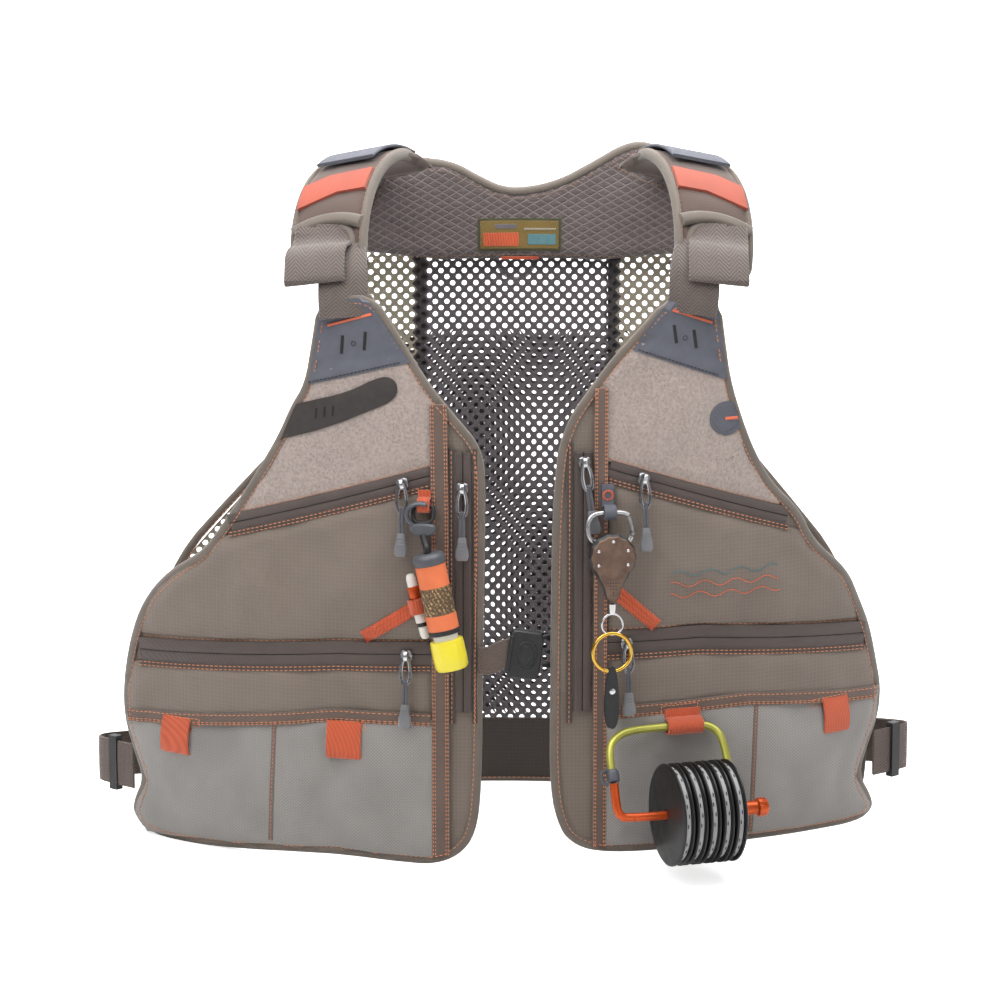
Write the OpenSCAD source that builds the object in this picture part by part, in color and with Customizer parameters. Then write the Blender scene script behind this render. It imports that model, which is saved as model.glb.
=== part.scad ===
// Fishing vest, held by its hang loop: quilted yoke and shoulder pads, two pocketed
// fronts that swing open, zips, and the tools that hang on it.
// X runs across the vest, the front faces -Y, Z is up. Millimetres.

/* [Overall] */
// Radius of the cylinder the two fronts are wrapped on
front_r = 400; // [360:1:460]
// Distance from the middle of the vest to the face of each front
front_y = 120; // [90:1:150]
// Thickness of the base cloth of each front
cloth_t = 4; // [2:0.5:8]
// Visible width of the edge binding
binding_w = 7; // [5:0.5:10]
// Height of the back panel's top edge above the hem line
back_top = 405; // [380:1:430]
// Height of the pockets' cloth above the base cloth
pocket_t = 4; // [2:0.5:5]
// Thickness of the fine mesh pocket over the lower pocket
mesh_t = 1.5; // [1:0.5:3]

/* [Zips] */
// Width of the front edge zip's tape
zip_w = 12; // [9:0.5:18]
// Width of the zip's row of teeth
coil_w = 4.5; // [3:0.5:7]
// Length of the wire bail on a zip pull
bail_l = 20; // [14:1:26]
// Length of the cord below the bail
cord_l = 15; // [8:1:22]
// Length of the moulded grip at the end of the cord
grip_l = 15; // [10:1:20]

/* [Shoulders] */
// Outer radius of the padded arch over each shoulder
arch_r = 100; // [85:1:115]
// Thickness of the shoulder padding
pad_t = 12; // [8:1:18]
// Width of the webbing that joins pad and front
strap_w = 35; // [25:1:40]

/* [Hanging tools] */
// Outer radius of a tippet spool
spool_r = 36; // [28:1:38]
// Width of one tippet spool
spool_w = 9; // [8:0.1:13]
// Centre distance between neighbouring spools
spool_pitch = 9.8; // [9:0.1:15]
// Radius of the retractor's disc
reel_r = 16.5; // [13:0.5:19]
// Radius of the floatant sleeve
sleeve_r = 10.5; // [9:0.5:12]
// Radius of the bottle cap below the sleeve
cap_r = 12; // [11:0.5:13]

/* [Hidden] */
$fn = 96;
org = [10, 122, 447];
axis_y = front_r - front_y;
r0 = front_r;
r1 = r0 + pocket_t;
r2 = r1 + mesh_t;
slide_r = r0 + 3.6;

// ---- outlines, seen from the front: [x, z] ----
out_r = [[-129,397],[-134,366],[-139,338],[-149,322],[-158,301],[-175,272],[-202,230],[-216,211],
  [-243,193],[-263,168],[-274,138],[-280,104],[-280,77],[-272,53],[-265,34],[-273,16],[-274,6],
  [-262,-7],[-216,-7],[-170,-3],[-118,0],[-73,-3],[-50,-4],[-31,3],[-19,19],[-15,52],[-14,146],
  [-12,264],[-13,287],[-18,301],[-29,314],[-50,339],[-72,375],[-91,405]];
out_l = [[152,396],[156,367],[160,340],[169,311],[178,288],[191,264],[213,242],[223,219],[250,194],
  [261,168],[269,148],[275,120],[279,100],[277,79],[269,59],[262,38],[274,16],[273,8],[262,2],
  [226,3],[165,4],[98,3],[65,5],[50,11],[40,22],[33,51],[33,116],[34,238],[37,286],[40,301],
  [47,319],[59,336],[75,358],[95,379],[114,400]];

// a polygon moved in by d along the bisector of each corner, for either winding
function unit(v) = v / norm(v);
function turn_left(v) = [-v[1], v[0]];
function area2(p) = let(n = len(p)) [for (i = [0:n-1]) p[i][0]*p[(i+1)%n][1] - p[(i+1)%n][0]*p[i][1]];
function total(v, i = 0) = i < len(v) ? v[i] + total(v, i+1) : 0;
function inset(p, d) = let(n = len(p), s = total(area2(p)) > 0 ? 1 : -1)
  [for (i = [0:n-1]) let(a = turn_left(unit(p[i] - p[(i+n-1)%n])), b = turn_left(unit(p[(i+1)%n] - p[i])))
    p[i] + s*d*(a + b)/(1 + a*b)];
in_r = inset(out_r, binding_w);
in_l = inset(out_l, binding_w);

module place() translate(-org) children();
module slab(p) translate([0, 70, 0]) rotate([90, 0, 0]) linear_extrude(240) polygon(p);
module shell(a, b) translate([0, axis_y, -60]) difference() {
  cylinder(r = b, h = 520, $fn = 128);
  translate([0, 0, -1]) cylinder(r = a, h = 522, $fn = 128);
}
module patch(p, a, b) intersection() {
  shell(a, b);
  slab(p);
}
module patch_in(p, lim, a, b) intersection() {
  shell(a, b);
  slab(p);
  slab(lim);
}
// local frame on the front: x along the surface, -y outward, z up
module at(x, z, r = 400) translate([0, axis_y, z]) rotate([0, 0, asin(x/r0)]) translate([0, -r, 0])
    children();
module rod(a, b, r) {
  d = b - a;
  l = norm(d);
  translate(a) rotate([0, acos(d[2]/l), atan2(d[1], d[0])]) cylinder(r = r, h = l, $fn = 24);
}
module ball(p, r) translate(p) sphere(r = 1.07*r, $fn = 24); // a joint between two rods
module xtube(l, ro, ri) rotate([0, 90, 0]) difference() {
  cylinder(r = ro, h = l, center = true, $fn = 32);
  cylinder(r = ri, h = l + 1, center = true, $fn = 32);
}
// a strip of width w about the line a-b
function strip(a, b, w) = let(t = turn_left(unit(b - a))*w/2) [a + t, b + t, b - t, a - t];

// ---- back ----
module back_shell(a, b) translate([0, -axis_y, -60]) difference() {
  cylinder(r = b, h = 560, $fn = 128);
  translate([0, 0, -1]) cylinder(r = a, h = 562, $fn = 128);
}
module back_slab(p) translate([0, 150, 0]) rotate([90, 0, 0]) linear_extrude(130) polygon(p);
back_out = [[-104,back_top],[-112,360],[-130,318],[-160,272],[-206,226],[-240,190],[-258,140],[-262,80],
    [-262,30],[-256,2],[-230,-4],[0,-4],[235,-4],[262,2],[268,30],[268,80],[262,140],[246,190],[216,226],
    [176,272],[150,318],[136,360],[128,back_top]];
module back_panel() color([0.72, 0.70, 0.66]) place() intersection() {
  back_shell(396, 400);
  back_slab(back_out);
}
module back_band() color([0.30, 0.28, 0.27]) place() intersection() {
  back_shell(400, 403);
  back_slab([[-261,48],[-260,20],[-255,3],[-230,-3],[235,-3],[261,3],[267,20],[268,48]]);
}
module yoke() color([0.38, 0.34, 0.34]) place() intersection() {
  translate([14, -60, 380]) difference() {
    cylinder(r = 178, h = 140, $fn = 128);
    translate([0, 0, -1]) cylinder(r = 160, h = 142, $fn = 128);
  }
  back_slab([[-105,back_top],[-102,445],[-93,466],[-78,479],[-57,479],[-37,475],[-20,465],[-2,456],
      [17,455], [43,461],[68,475],[92,490],[107,492],[117,486],[127,465],[133,440],[133,back_top]]);
}
module hang_loop() color([0.12, 0.12, 0.12]) place() {
  // webbing strap sewn to the outside of the yoke, standing off it as a loop
  translate([10, 118.1, 420]) {
    translate([-7, 0, 0]) cube([14, 1.5, 30]);
    translate([-7, 1.5, 0]) cube([14, 6, 1.5]);
    translate([-7, 6, 1.5]) cube([14, 1.5, 27]);
    translate([-7, 1.5, 28.5]) cube([14, 6, 1.5]);
  }
  // small tab that carries the net ring
  translate([10, 119.6, 406]) translate([-7, -1.5, 0]) cube([14, 1.5, 14]);
  translate([10, 124.4, 410]) xtube(14, 4.6, 3.1);
}
module net_ring() color([0.75, 0.75, 0.72]) place() translate([10, 124.4, 410]) {
  rod([-14, 0, 0], [14, 0, 0], 1.7);
  ball([-14, 0, 0], 1.7);
  ball([14, 0, 0], 1.7);
  rod([-14, 0, 0], [-14, 0, -8], 1.7);
  rod([14, 0, 0], [14, 0, -8], 1.7);
  translate([0, 0, -8]) rotate([90, 0, 0]) intersection() {
    rotate_extrude($fn = 64) translate([14, 0]) circle(r = 1.7, $fn = 24);
    translate([-20, -20, -5]) cube([40, 20, 10]);
  }
}

// ---- shoulders ----
arch_z = 392;
arch_end = 62;
pad_w = 56;
pad_x = [-81, 112]; // middle of each arch, right and left
pad_yaw = [23, 19]; // how far each arch turns outward in front
pad_back = 25; // degrees that a pad reaches behind the top
pad_lean = 12;
strap_x = [-113, 135];
strap_l = 33;
// an arch over the shoulder, from u0 degrees behind to u1 in front, width w
module arch(ra, rb, w, u0, u1) rotate([0, 90, 0]) rotate([0, 0, 180 - u0]) translate([0, 0, -w/2])
    rotate_extrude(angle = u1 + u0, $fn = 128) translate([ra, 0]) square([rb - ra, w]);
function side(s) = s > 0 ? 1 : 0;
module pad(s, ra, rb, w, u0, u1) translate([pad_x[side(s)], 10, arch_z]) rotate([0, s*pad_lean, 0])
    rotate([0, 0, s*pad_yaw[side(s)]]) arch(ra, rb, w, u0, u1);
module shoulder_right() color([0.45, 0.41, 0.37]) place() pad(-1, arch_r - pad_t, arch_r, pad_w,
    pad_back, arch_end);
module shoulder_left() color([0.45, 0.41, 0.37]) place() pad(1, arch_r - pad_t, arch_r, pad_w, pad_back,
    arch_end);
module shoulder_strips() color([0.80, 0.37, 0.25]) place() for (s = [-1, 1]) pad(s, arch_r, arch_r + 1.5,
    pad_w - 2, -20, 40);
module shoulder_straps() color([0.32, 0.29, 0.27]) place() for (s = [-1, 1]) {
  // dark cloth tab over the top of the pad
  pad(s, arch_r, arch_r + 1.5, pad_w - 12, 22, 18);
  // webbing wrapped on the pad's front end, and the strap that leaves it along its tangent
  pad(s, arch_r, arch_r + 2.5, pad_w, -41, arch_end);
  translate([strap_x[side(s)], 4 - (arch_r + 1.25)*sin(arch_end), arch_z + (arch_r +
      1.25)*cos(arch_end)]) rotate([-(90 - arch_end), 0, 0]) translate([-strap_w/2, -1.25, -strap_l])
      cube([strap_w, 2.5, strap_l + 2]);
}

// ---- side straps: one polygon seen from above, [x, y] ----
side_r = [[-274,-4],[-303,22],[-299,31],[-263,41]];
side_z = [22, 32];
web_h = 34;
// a ribbon of thickness t about an open line
function miter(p, i) = let(n = len(p), a = turn_left(unit(p[max(i,1)] - p[max(i,1)-1])),
    b = turn_left(unit(p[min(i,n-2)+1] - p[min(i,n-2)]))) (a + b)/(1 + a*b);
function ribbon(p, t) = concat([for (i = [0:len(p)-1]) p[i] + miter(p, i)*t/2], [for (i =
    [len(p)-1:-1:0]) p[i] - miter(p, i)*t/2]);
module side_webbing() color([0.33, 0.30, 0.29]) place() {
  translate([0, 0, side_z[0]]) linear_extrude(web_h) polygon(ribbon(side_r, 1.8));
  translate([0, 0, side_z[1]]) linear_extrude(web_h) mirror([1, 0]) translate([-2, 0])
      polygon(ribbon(side_r, 1.8));
}
// a tri-glide round the outer run of the side strap
module glide() difference() {
  translate([-4, -3, -20.5]) cube([8, 6, 41]);
  translate([-5, -1.4, -17.6]) cube([10, 2.8, 35.2]);
}
glide_at = (side_r[0] + side_r[1])/2;
glide_a = atan2(side_r[0][1] - side_r[1][1], side_r[0][0] - side_r[1][0]);
module adjuster_right() color([0.1, 0.1, 0.1]) place() translate([glide_at[0], glide_at[1], side_z[0] +
    web_h/2]) rotate([0, 0, glide_a]) glide();
module adjuster_left() color([0.1, 0.1, 0.1]) place() translate([2 - glide_at[0], glide_at[1],
    side_z[1] + web_h/2]) rotate([0, 0, -glide_a]) glide();

// ---- cloth pieces of the two fronts ----
module front_base(lim) patch(lim, r0 - cloth_t, r0);
module front_binding(o, i) intersection() {
  shell(r0 - cloth_t - 1.5, r0 + 2.5);
  difference() {
    slab(o);
    slab(i);
  }
}
module panel_right() color([0.50, 0.46, 0.41]) place() front_base(in_r);
module panel_left() color([0.50, 0.46, 0.41]) place() front_base(in_l);
module binding_right() color([0.46, 0.42, 0.38]) place() front_binding(out_r, in_r);
module binding_left() color([0.46, 0.42, 0.38]) place() front_binding(out_l, in_l);

module fleece_right() color([0.65, 0.59, 0.56]) place()
  patch_in([[-152,299],[-190,262],[-186,241],[-50,284],[-50,338],[-71,345],[-91,320],
      [-123,306]], in_r, r0, r0 + 2);
module fleece_left() color([0.65, 0.59, 0.56]) place()
  patch_in([[73.5,288],[196,248],[206,262],[176,294],[160,291],[147,300],[146,316],[151,341],[95,362],
      [73.5,345]], in_l, r0, r0 + 2);
module slot(x, z, a, l) translate([x, 0, z]) rotate([0, a, 0]) translate([-1.5, -200, -l/2]) cube([3,
    260, l]);
module hypalon_right() color([0.36, 0.37, 0.41]) place() difference() {
  patch_in([[-130,380],[-92,391],[-70,359],[-133,338]], in_r, r0, r0 + 2);
  slot(-112, 367, 4, 12);
  slot(-96, 370, 4, 14);
  at(-104, 368) rotate([90, 0, 0]) translate([0, 0, -5]) cylinder(r = 1.5, h = 10, $fn = 24);
}
module hypalon_left() color([0.36, 0.37, 0.41]) place() {
  difference() {
    patch_in([[117,394],[147,381],[151,342],[95,363]], in_l, r0, r0 + 2);
    slot(120, 374, -8, 14);
    slot(134, 370, -8, 12);
    at(127, 371) rotate([90, 0, 0]) translate([0, 0, -5]) cylinder(r = 1.5, h = 10, $fn = 24);
  }
  intersection() {
    shell(r0, r0 + 2);
    slab(in_l);
    translate([159, 70, 313]) rotate([90, 0, 0]) cylinder(r = 12, h = 240, $fn = 48);
  }
  // tab that carries the retractor
  at(72, 252, r1) {
    translate([-4, -2.2, -5]) cube([8, 1.5, 22]);
    translate([-4, -5.5, -1.5]) cube([8, 4.5, 3]);
    translate([0, -9, 0]) xtube(8, 4.5, 3);
  }
}
module tab_right() color([0.21, 0.19, 0.18]) place() difference() {
  patch_in([[-142,325],[-110,332],[-81,347],[-72,338],[-75,331],[-91,322],[-123,308],[-151,300]], in_r,
      r0 + 2, r0 + 4);
  for (x = [-131, -125, -119]) slot(x, 318, 0, 7);
}

module chest_pocket_right() color([0.50, 0.46, 0.41]) place()
  patch_in([[-206,222],[-50,271],[-50,160],[-117,158],[-266,143],[-270,190]], in_r, r0, r1);
module chest_pocket_left() color([0.50, 0.46, 0.41]) place()
  patch_in([[74,273],[218,226],[262,190],[268,155],[140,167],[74,165]], in_l, r0, r1);
module lower_pocket_right() color([0.50, 0.46, 0.41]) place()
  patch_in([[-272,121],[-117,137],[-50,139],[-50,-10],[-280,-10],[-290,60]], in_r, r0, r1);
module lower_pocket_left() color([0.50, 0.46, 0.41]) place()
  patch_in([[73,148],[140,148],[272,133],[290,60],[290,-10],[73,-10]], in_l, r0, r1);
module mesh_pocket_right() color([0.55, 0.53, 0.52]) place()
  patch_in([[-282,92],[-117,110],[-50,110],[-50,5],[-118,8],[-166,6],[-262,0],[-290,40]], in_r, r1, r2);
module mesh_pocket_left() color([0.55, 0.53, 0.52]) place()
  patch_in([[73,112],[175,114],[282,104],[290,60],[262,11],[178,11],[73,12]], in_l, r1, r2);

// zip tapes between the pockets, each with its coil: chest, middle and front edge
module zip(tape, a, b, lim) {
  patch_in(tape, lim, r0, r0 + 1.2);
  patch_in(strip(a, b, coil_w), lim, r0 + 1.2, r0 + 3);
}
module edge_zip(x) {
  patch([[x-zip_w/2,108],[x+zip_w/2,108],[x+zip_w/2,293],[x-zip_w/2,293]], r0, r0 + 1.2);
  patch([[x-coil_w/2,109],[x+coil_w/2,109],[x+coil_w/2,292],[x-coil_w/2,292]], r0 + 1.2, r0 + 3);
}
module zips_right() color([0.34, 0.31, 0.28]) place() {
  zip([[-206,222],[-50,271],[-50,284],[-186,241]], [-192,234.5], [-52,275.5], in_r);
  zip([[-272,121],[-117,137],[-50,139],[-50,160],[-117,158],[-266,143]], [-268,132.2], [-52,149.3], in_r);
  edge_zip(-28);
}
module zips_left() color([0.34, 0.31, 0.28]) place() {
  zip([[74,273],[218,226],[196,248],[74,287]], [77,279.7], [206,238], in_l);
  zip([[74,148],[140,148],[272,133],[268,155],[140,167],[74,165]], [76,156.4], [266,144.6], in_l);
  edge_zip(56);
}
// vertical twin-stitched tape, and the pale strip beside the front edge zip
module tape_right() color([0.42, 0.36, 0.31]) place() {
  patch_in([[-50,338],[-37,318],[-38,-6],[-50,-6]], in_r, r0, r0 + 4.5);
  patch_in([[-22,109],[-17,109],[-17,292],[-22,296]], in_r, r0, r0 + 1.5);
}
module tape_left() color([0.42, 0.36, 0.31]) place() patch_in([[63,336],[72,344],[73,-6],[64,-6]], in_l,
    r0, r0 + 4.5);

// webbing loops: a plate sewn down at the top, folded into an open eye below it
module eye(w, ro, ri, up) {
  translate([-w/2, -1.5, 0]) cube([w, 1.5, up]);
  translate([0, -ro - 0.2, 0]) xtube(w, ro, ri);
}
module loops_right() color([0.80, 0.31, 0.16]) place() {
  at(-232, 73, r2) eye(28, 5, 3.6, 5);
  at(-110, 84, r2) eye(26, 5, 3.6, 5);
  at(-54, 257, r1) eye(8, 4.4, 3, 10);
  // slanting loop that carries the small tube
  at(-87, 163, r1) translate([-7, -1.5, -4]) cube([14, 1.5, 8]);
  at(-76, 171, r1) rotate([0, -35, 0]) translate([-13, -1.5, -4]) cube([30, 1.5, 8]);
  at(-58, 186, r1) translate([0, -7.2, 0]) rotate([0, -14, 0]) translate([0, 0, -5]) difference() {
    cylinder(r = 5.9, h = 10, $fn = 40);
    translate([0, 0, -1]) cylinder(r = 4.5, h = 12, $fn = 40);
  }
}
module loops_left() color([0.80, 0.31, 0.16]) place() {
  at(125, 96, r2) eye(27, 5, 3.6, 5);
  at(236, 88, r2) eye(24, 5, 3.6, 5);
  at(100, 171, r1) translate([-7, -1.5, -4]) cube([14, 1.5, 8]);
  at(88, 182, r1) rotate([0, 38, 0]) translate([-14, -1.5, -4]) cube([30, 1.5, 8]);
}

// ---- front buckle, unclipped ----
module buckle_right() color([0.1, 0.1, 0.11]) place() {
  at(-7, 146, r0 + 2.7) translate([-8, -1.8, -10]) cube([20, 1.8, 20]);
  at(15, 150, r0) rotate([0, -8, 0]) difference() {
    translate([-12, -4.5, -17]) cube([24, 9, 34]);
    // pocket for the prongs, open toward the other front
    translate([-6, -2.5, -13]) cube([30, 5, 26]);
    translate([-4, -6, -18]) cube([9, 12, 4.5]);
    translate([-4, -6, 13.5]) cube([9, 12, 4.5]);
  }
}
module buckle_left() color([0.1, 0.1, 0.11]) place() at(46, 149, r0 - 12) {
  difference() {
    translate([-4, -3, -15]) cube([14, 6, 30]);
    translate([3, -4, -11]) cube([3, 8, 22]);
  }
  translate([-18, -2, -12]) cube([14, 4, 4]);
  translate([-18, -2, 8]) cube([14, 4, 4]);
  translate([-16, -2, -2]) cube([12, 4, 4]);
  translate([10, -1, -10]) cube([20, 2, 20]);
}

// ---- zip sliders and pulls: the slider lies on the coil, the pull turns in its bridge ----
module slider() {
  translate([-4.5, -3, -3.5]) cube([9, 3, 7]);
  difference() {
    translate([0, -4.2, 0]) rotate([0, 90, 0]) cylinder(r = 2.8, h = 2, center = true, $fn = 32);
    translate([0, -4.6, 0]) rotate([0, 90, 0]) cylinder(r = 1.4, h = 3, center = true, $fn = 32);
    translate([-3, -3, -5]) cube([6, 6, 10]);
  }
}
module pull() {
  rod([-4, -4.6, 0], [4, -4.6, 0], 0.7);
  for (s = [-1, 1]) {
    ball([s*4, -4.6, 0], 0.7);
    rod([s*4, -4.6, 0], [s*4, -4.6, -bail_l + 3], 0.7);
    ball([s*4, -4.6, -bail_l + 3], 0.7);
    rod([s*4, -4.6, -bail_l + 3], [0, -4.6, -bail_l], 0.7);
  }
  rod([0, -4.6, -bail_l + 1], [0, -4.6, -bail_l - cord_l], 1.3);
  difference() {
    translate([0, -2.4, -bail_l - cord_l]) rotate([90, 0, 0]) linear_extrude(4.4)
        polygon([[-3,0],[3,0],[4.6,-3],[4.6,-grip_l + 3],[3,-grip_l],[-3,-grip_l],[-4.6,-grip_l +
        3],[-4.6,-3]]);
    for (s = [-1, 1], k = [4, 7, 10]) translate([s*4.9, -8, -bail_l - cord_l - k - 0.5]) cube([1, 8, 1],
        center = false);
  }
}
// a pull rests on the swell of the pocket, so it hangs a few degrees outward
pull_lean = 6;
module hung() translate([0, -4.6, 0]) rotate([-pull_lean, 0, 0]) translate([0, 4.6, 0]) children();
module slider_chest_right() color([0.2, 0.2, 0.21]) place() at(-69, 270.5, slide_r) rotate([0, -16.5,
    0]) slider();
module pull_chest_right() color([0.49, 0.49, 0.5]) place() at(-69, 270.5, slide_r) hung() pull();
module slider_mid_right() color([0.2, 0.2, 0.21]) place() at(-67, 148, slide_r) slider();
module pull_mid_right() color([0.49, 0.49, 0.5]) place() at(-67, 148, slide_r) hung() pull();
module slider_chest_left() color([0.2, 0.2, 0.21]) place() at(97, 273.2, slide_r) rotate([0, 18, 0])
    slider();
module pull_chest_left() color([0.49, 0.49, 0.5]) place() at(97, 273.2, slide_r) hung() pull();
module slider_mid_left() color([0.2, 0.2, 0.21]) place() at(86, 155.8, slide_r) slider();
module pull_mid_left() color([0.49, 0.49, 0.5]) place() at(86, 155.8, slide_r) hung() pull();
// the front edge sliders carry their pull in one piece
module slider_side_right() color([0.2, 0.2, 0.21]) place() at(-28, 268, slide_r) {
  slider();
  pull();
}
module slider_side_left() color([0.2, 0.2, 0.21]) place() at(56, 286, slide_r) {
  slider();
  translate([0, -4.6, 0]) rotate([0, -8, 0]) translate([0, 4.6, 0]) pull();
}

// ---- floatant holder ----
fl_top = [4, -15, -27]; // top of the bottle's axis, from the clip's hinge
fl_lean = 12;
module floatant_clip() color([0.07, 0.07, 0.07]) place() at(-54, 257, r1 + 4.6) {
  rod([-6.5, 0, 0], [6.5, 0, 0], 1.5);
  for (s = [-1, 1]) {
    ball([s*6.5, 0, 0], 1.5);
    rod([s*6.5, 0, 0], [s*6.5, -3, -14], 1.5);
  }
  translate([-8.5, -6.5, -21]) cube([17, 6, 8]);
  rod([0, -3.5, -20], fl_top, 2.6);
  ball(fl_top, 2.6);
  translate(fl_top) rotate([0, -fl_lean, 0]) translate([0, 0, -6]) cylinder(r = 2.6, h = 6, $fn = 32);
}
// the sleeve hangs along a leaning line
module fl_axis() at(-54, 257, r1 + 4.6) translate(fl_top) rotate([0, -fl_lean, 0]) children();
module floatant_sleeve() color([0.88, 0.47, 0.27]) place() fl_axis() {
  // ring cap at the top, running on the clip's post
  difference() {
    union() {
      translate([0, 0, -12]) cylinder(r = sleeve_r, h = 8, $fn = 48);
      translate([0, 0, -9]) rotate_extrude($fn = 64) translate([sleeve_r + 1.2, 0]) circle(r = 1.8,
          $fn = 24);
    }
    translate([0, 0, -7]) cylinder(r = 3.2, h = 4, $fn = 32);
  }
  translate([0, 0, -62]) difference() {
    cylinder(r = sleeve_r, h = 50, $fn = 64);
    translate([0, 0, -1]) cylinder(r = sleeve_r - 1.2, h = 48, $fn = 64);
  }
}
module floatant_bottle() color([0.96, 0.88, 0.18]) place() fl_axis() {
  translate([0, 0, -66]) cylinder(r = sleeve_r - 1.6, h = 48, $fn = 64);
  translate([0, 0, -88]) cylinder(r = cap_r, h = 22, $fn = 64);
}
module floatant_tube() color([0.9, 0.88, 0.85]) place() at(-58, 186, r1) translate([0, -7.2, 0])
    rotate([0, -14, 0]) {
  translate([0, 0, -24]) cylinder(r = 3.4, h = 12, $fn = 40);
  translate([0, 0, -12]) cylinder(r = 4.1, h = 26, $fn = 40);
  translate([0, 0, 14]) cylinder(r = 3.2, h = 9, $fn = 40);
}

// ---- retractor ----
module ret() at(72, 252, r1 + 9) children();
module carabiner() color([0.75, 0.75, 0.75]) place() ret() {
  rod([-12, 0, 0], [12, 0, 0], 1.7);
  ball([-12, 0, 0], 1.7);
  ball([12, 0, 0], 1.7);
  rod([-12, 0, 0], [-16, -1, -6], 1.7);
  ball([-16, -1, -6], 1.7);
  rod([-16, -1, -6], [-14, -2, -21], 1.7);
  ball([-14, -2, -21], 1.7);
  rod([-14, -2, -21], [12, -2, -21], 1.7);
  ball([12, -2, -21], 1.7);
  rod([12, -2, -21], [14.6, -1.9, -17.5], 1.7);
}
// the gate closes the open side of the carabiner
module carabiner_gate() color([0.75, 0.75, 0.75]) place() ret() {
  rod([15.6, -1.6, -14.4], [13.6, -0.3, -3.2], 1.3);
  ball([15.6, -1.6, -14.4], 1.3);
}
// the lug runs on the carabiner's lower bar, behind the case
module reel_lug() ret() translate([0, -2, -21]) children();
module retractor_reel() color([0.49, 0.37, 0.31]) place() reel_lug() {
  xtube(7, 4.2, 2.6);
  difference() {
    union() {
      translate([0, -3.5, -9]) rotate([90, 0, 0]) cylinder(r = reel_r, h = 8, $fn = 96);
      translate([0, -4, -9]) rotate([90, 0, 0]) linear_extrude(7)
          polygon([[-15,-6],[-12,-13],[-5,-25],[-3.5,-32],[3.5,-32],[5,-25],[12,-13],[15,-6]]);
    }
    translate([0, -7.5, -46]) cylinder(r = 1.1, h = 20, $fn = 24);
  }
}
module ring(r, t) rotate([90, 0, 0]) rotate_extrude($fn = 96) translate([r, 0]) circle(r = t, $fn = 24);
module retractor_fob() color([0.88, 0.69, 0.22]) place() reel_lug() translate([0, -7.5, 0]) {
  translate([0, 0, -50]) cylinder(r = 2.6, h = 8.5, $fn = 32);
  translate([0, 0, -55.5]) ring(7.4, 0.9);
  translate([0, 0, -76.5]) ring(13.9, 1.3);
  // nipper leaves that hang in the ring
  translate([0, 2, -89]) rotate([90, 0, 0]) linear_extrude(4) polygon([[-2,2],[2,2],[4.5,-6],[5.5,-30],
      [3,-42],[-3,-42],[-5.5,-30],[-4.5,-6]]);
}

// ---- tippet holder ----
module tip() at(125, 96, r2 + 5.2) children();
tip_c = [0, -33, -55];
module tippet_frame() color([0.72, 0.72, 0.35]) place() tip() {
  rod([-26, 0, 0], [16, 0, 0], 2.8);
  ball([16, 0, 0], 2.8);
  ball([-26, 0, 0], 2.8);
  rod([16, 0, 0], [26, -7, -6], 2.8);
  ball([26, -7, -6], 2.8);
  rod([26, -7, -6], [26.75, tip_c[1], tip_c[2] + 6], 2.8);
  rod([-26, 0, 0], [-52, -6, -1], 2.8);
  ball([-52, -6, -1], 2.8);
  rod([-52, -6, -1], [-61, -12, -8], 2.8);
  ball([-61, -12, -8], 2.8);
  rod([-61, -12, -8], [-62, -22, -25], 2.8);
  // grey collar over the end of the spindle
  rod([-62, -21, -23.3], [-62, -25.06, -30.2], 4.2);
  // eye on the spindle
  translate([24.5, tip_c[1], tip_c[2]]) rotate([0, 90, 0]) difference() {
    cylinder(r = 7, h = 4.5, $fn = 40);
    translate([0, 0, -1]) cylinder(r = 3.3, h = 7, $fn = 40);
  }
}
module tippet_bar() color([0.86, 0.35, 0.12]) place() tip() {
  rod([-62, -25.16, -30.4], [-62, -30, -45], 3.2);
  ball([-62, -30, -45], 3.2);
  rod([-62, -30, -45], [-59, -32, -52], 3.2);
  ball([-59, -32, -52], 3.2);
  rod([-59, -32, -52], [-53, -33, -55], 3.2);
  ball([-53, -33, -55], 3.2);
  translate(tip_c) {
    translate([-53, 0, 0]) rotate([0, 90, 0]) cylinder(r = 3.2, h = 90, $fn = 40);
    translate([29.6, 0, 0]) rotate([0, 90, 0]) cylinder(r = 5, h = 13, $fn = 48);
    translate([42, 0, 0]) rotate([0, 90, 0]) cylinder(r = 6.5, h = 8, $fn = 48);
  }
}
module spool(k) translate([-26 + k*spool_pitch, 0, 0]) rotate([0, 90, 0]) rotate_extrude($fn = 96)
    polygon([[4,0],[spool_r,0],[spool_r,3],[spool_r - 3,3.6],[spool_r - 3,spool_w -
    3.6],[spool_r,spool_w - 3],[spool_r,spool_w],[4,spool_w]]);
module spool_1() color([0.06, 0.06, 0.06]) place() tip() translate(tip_c) spool(0);
module spool_2() color([0.06, 0.06, 0.06]) place() tip() translate(tip_c) spool(1);
module spool_3() color([0.06, 0.06, 0.06]) place() tip() translate(tip_c) spool(2);
module spool_4() color([0.06, 0.06, 0.06]) place() tip() translate(tip_c) spool(3);
module spool_5() color([0.06, 0.06, 0.06]) place() tip() translate(tip_c) spool(4);

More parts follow.
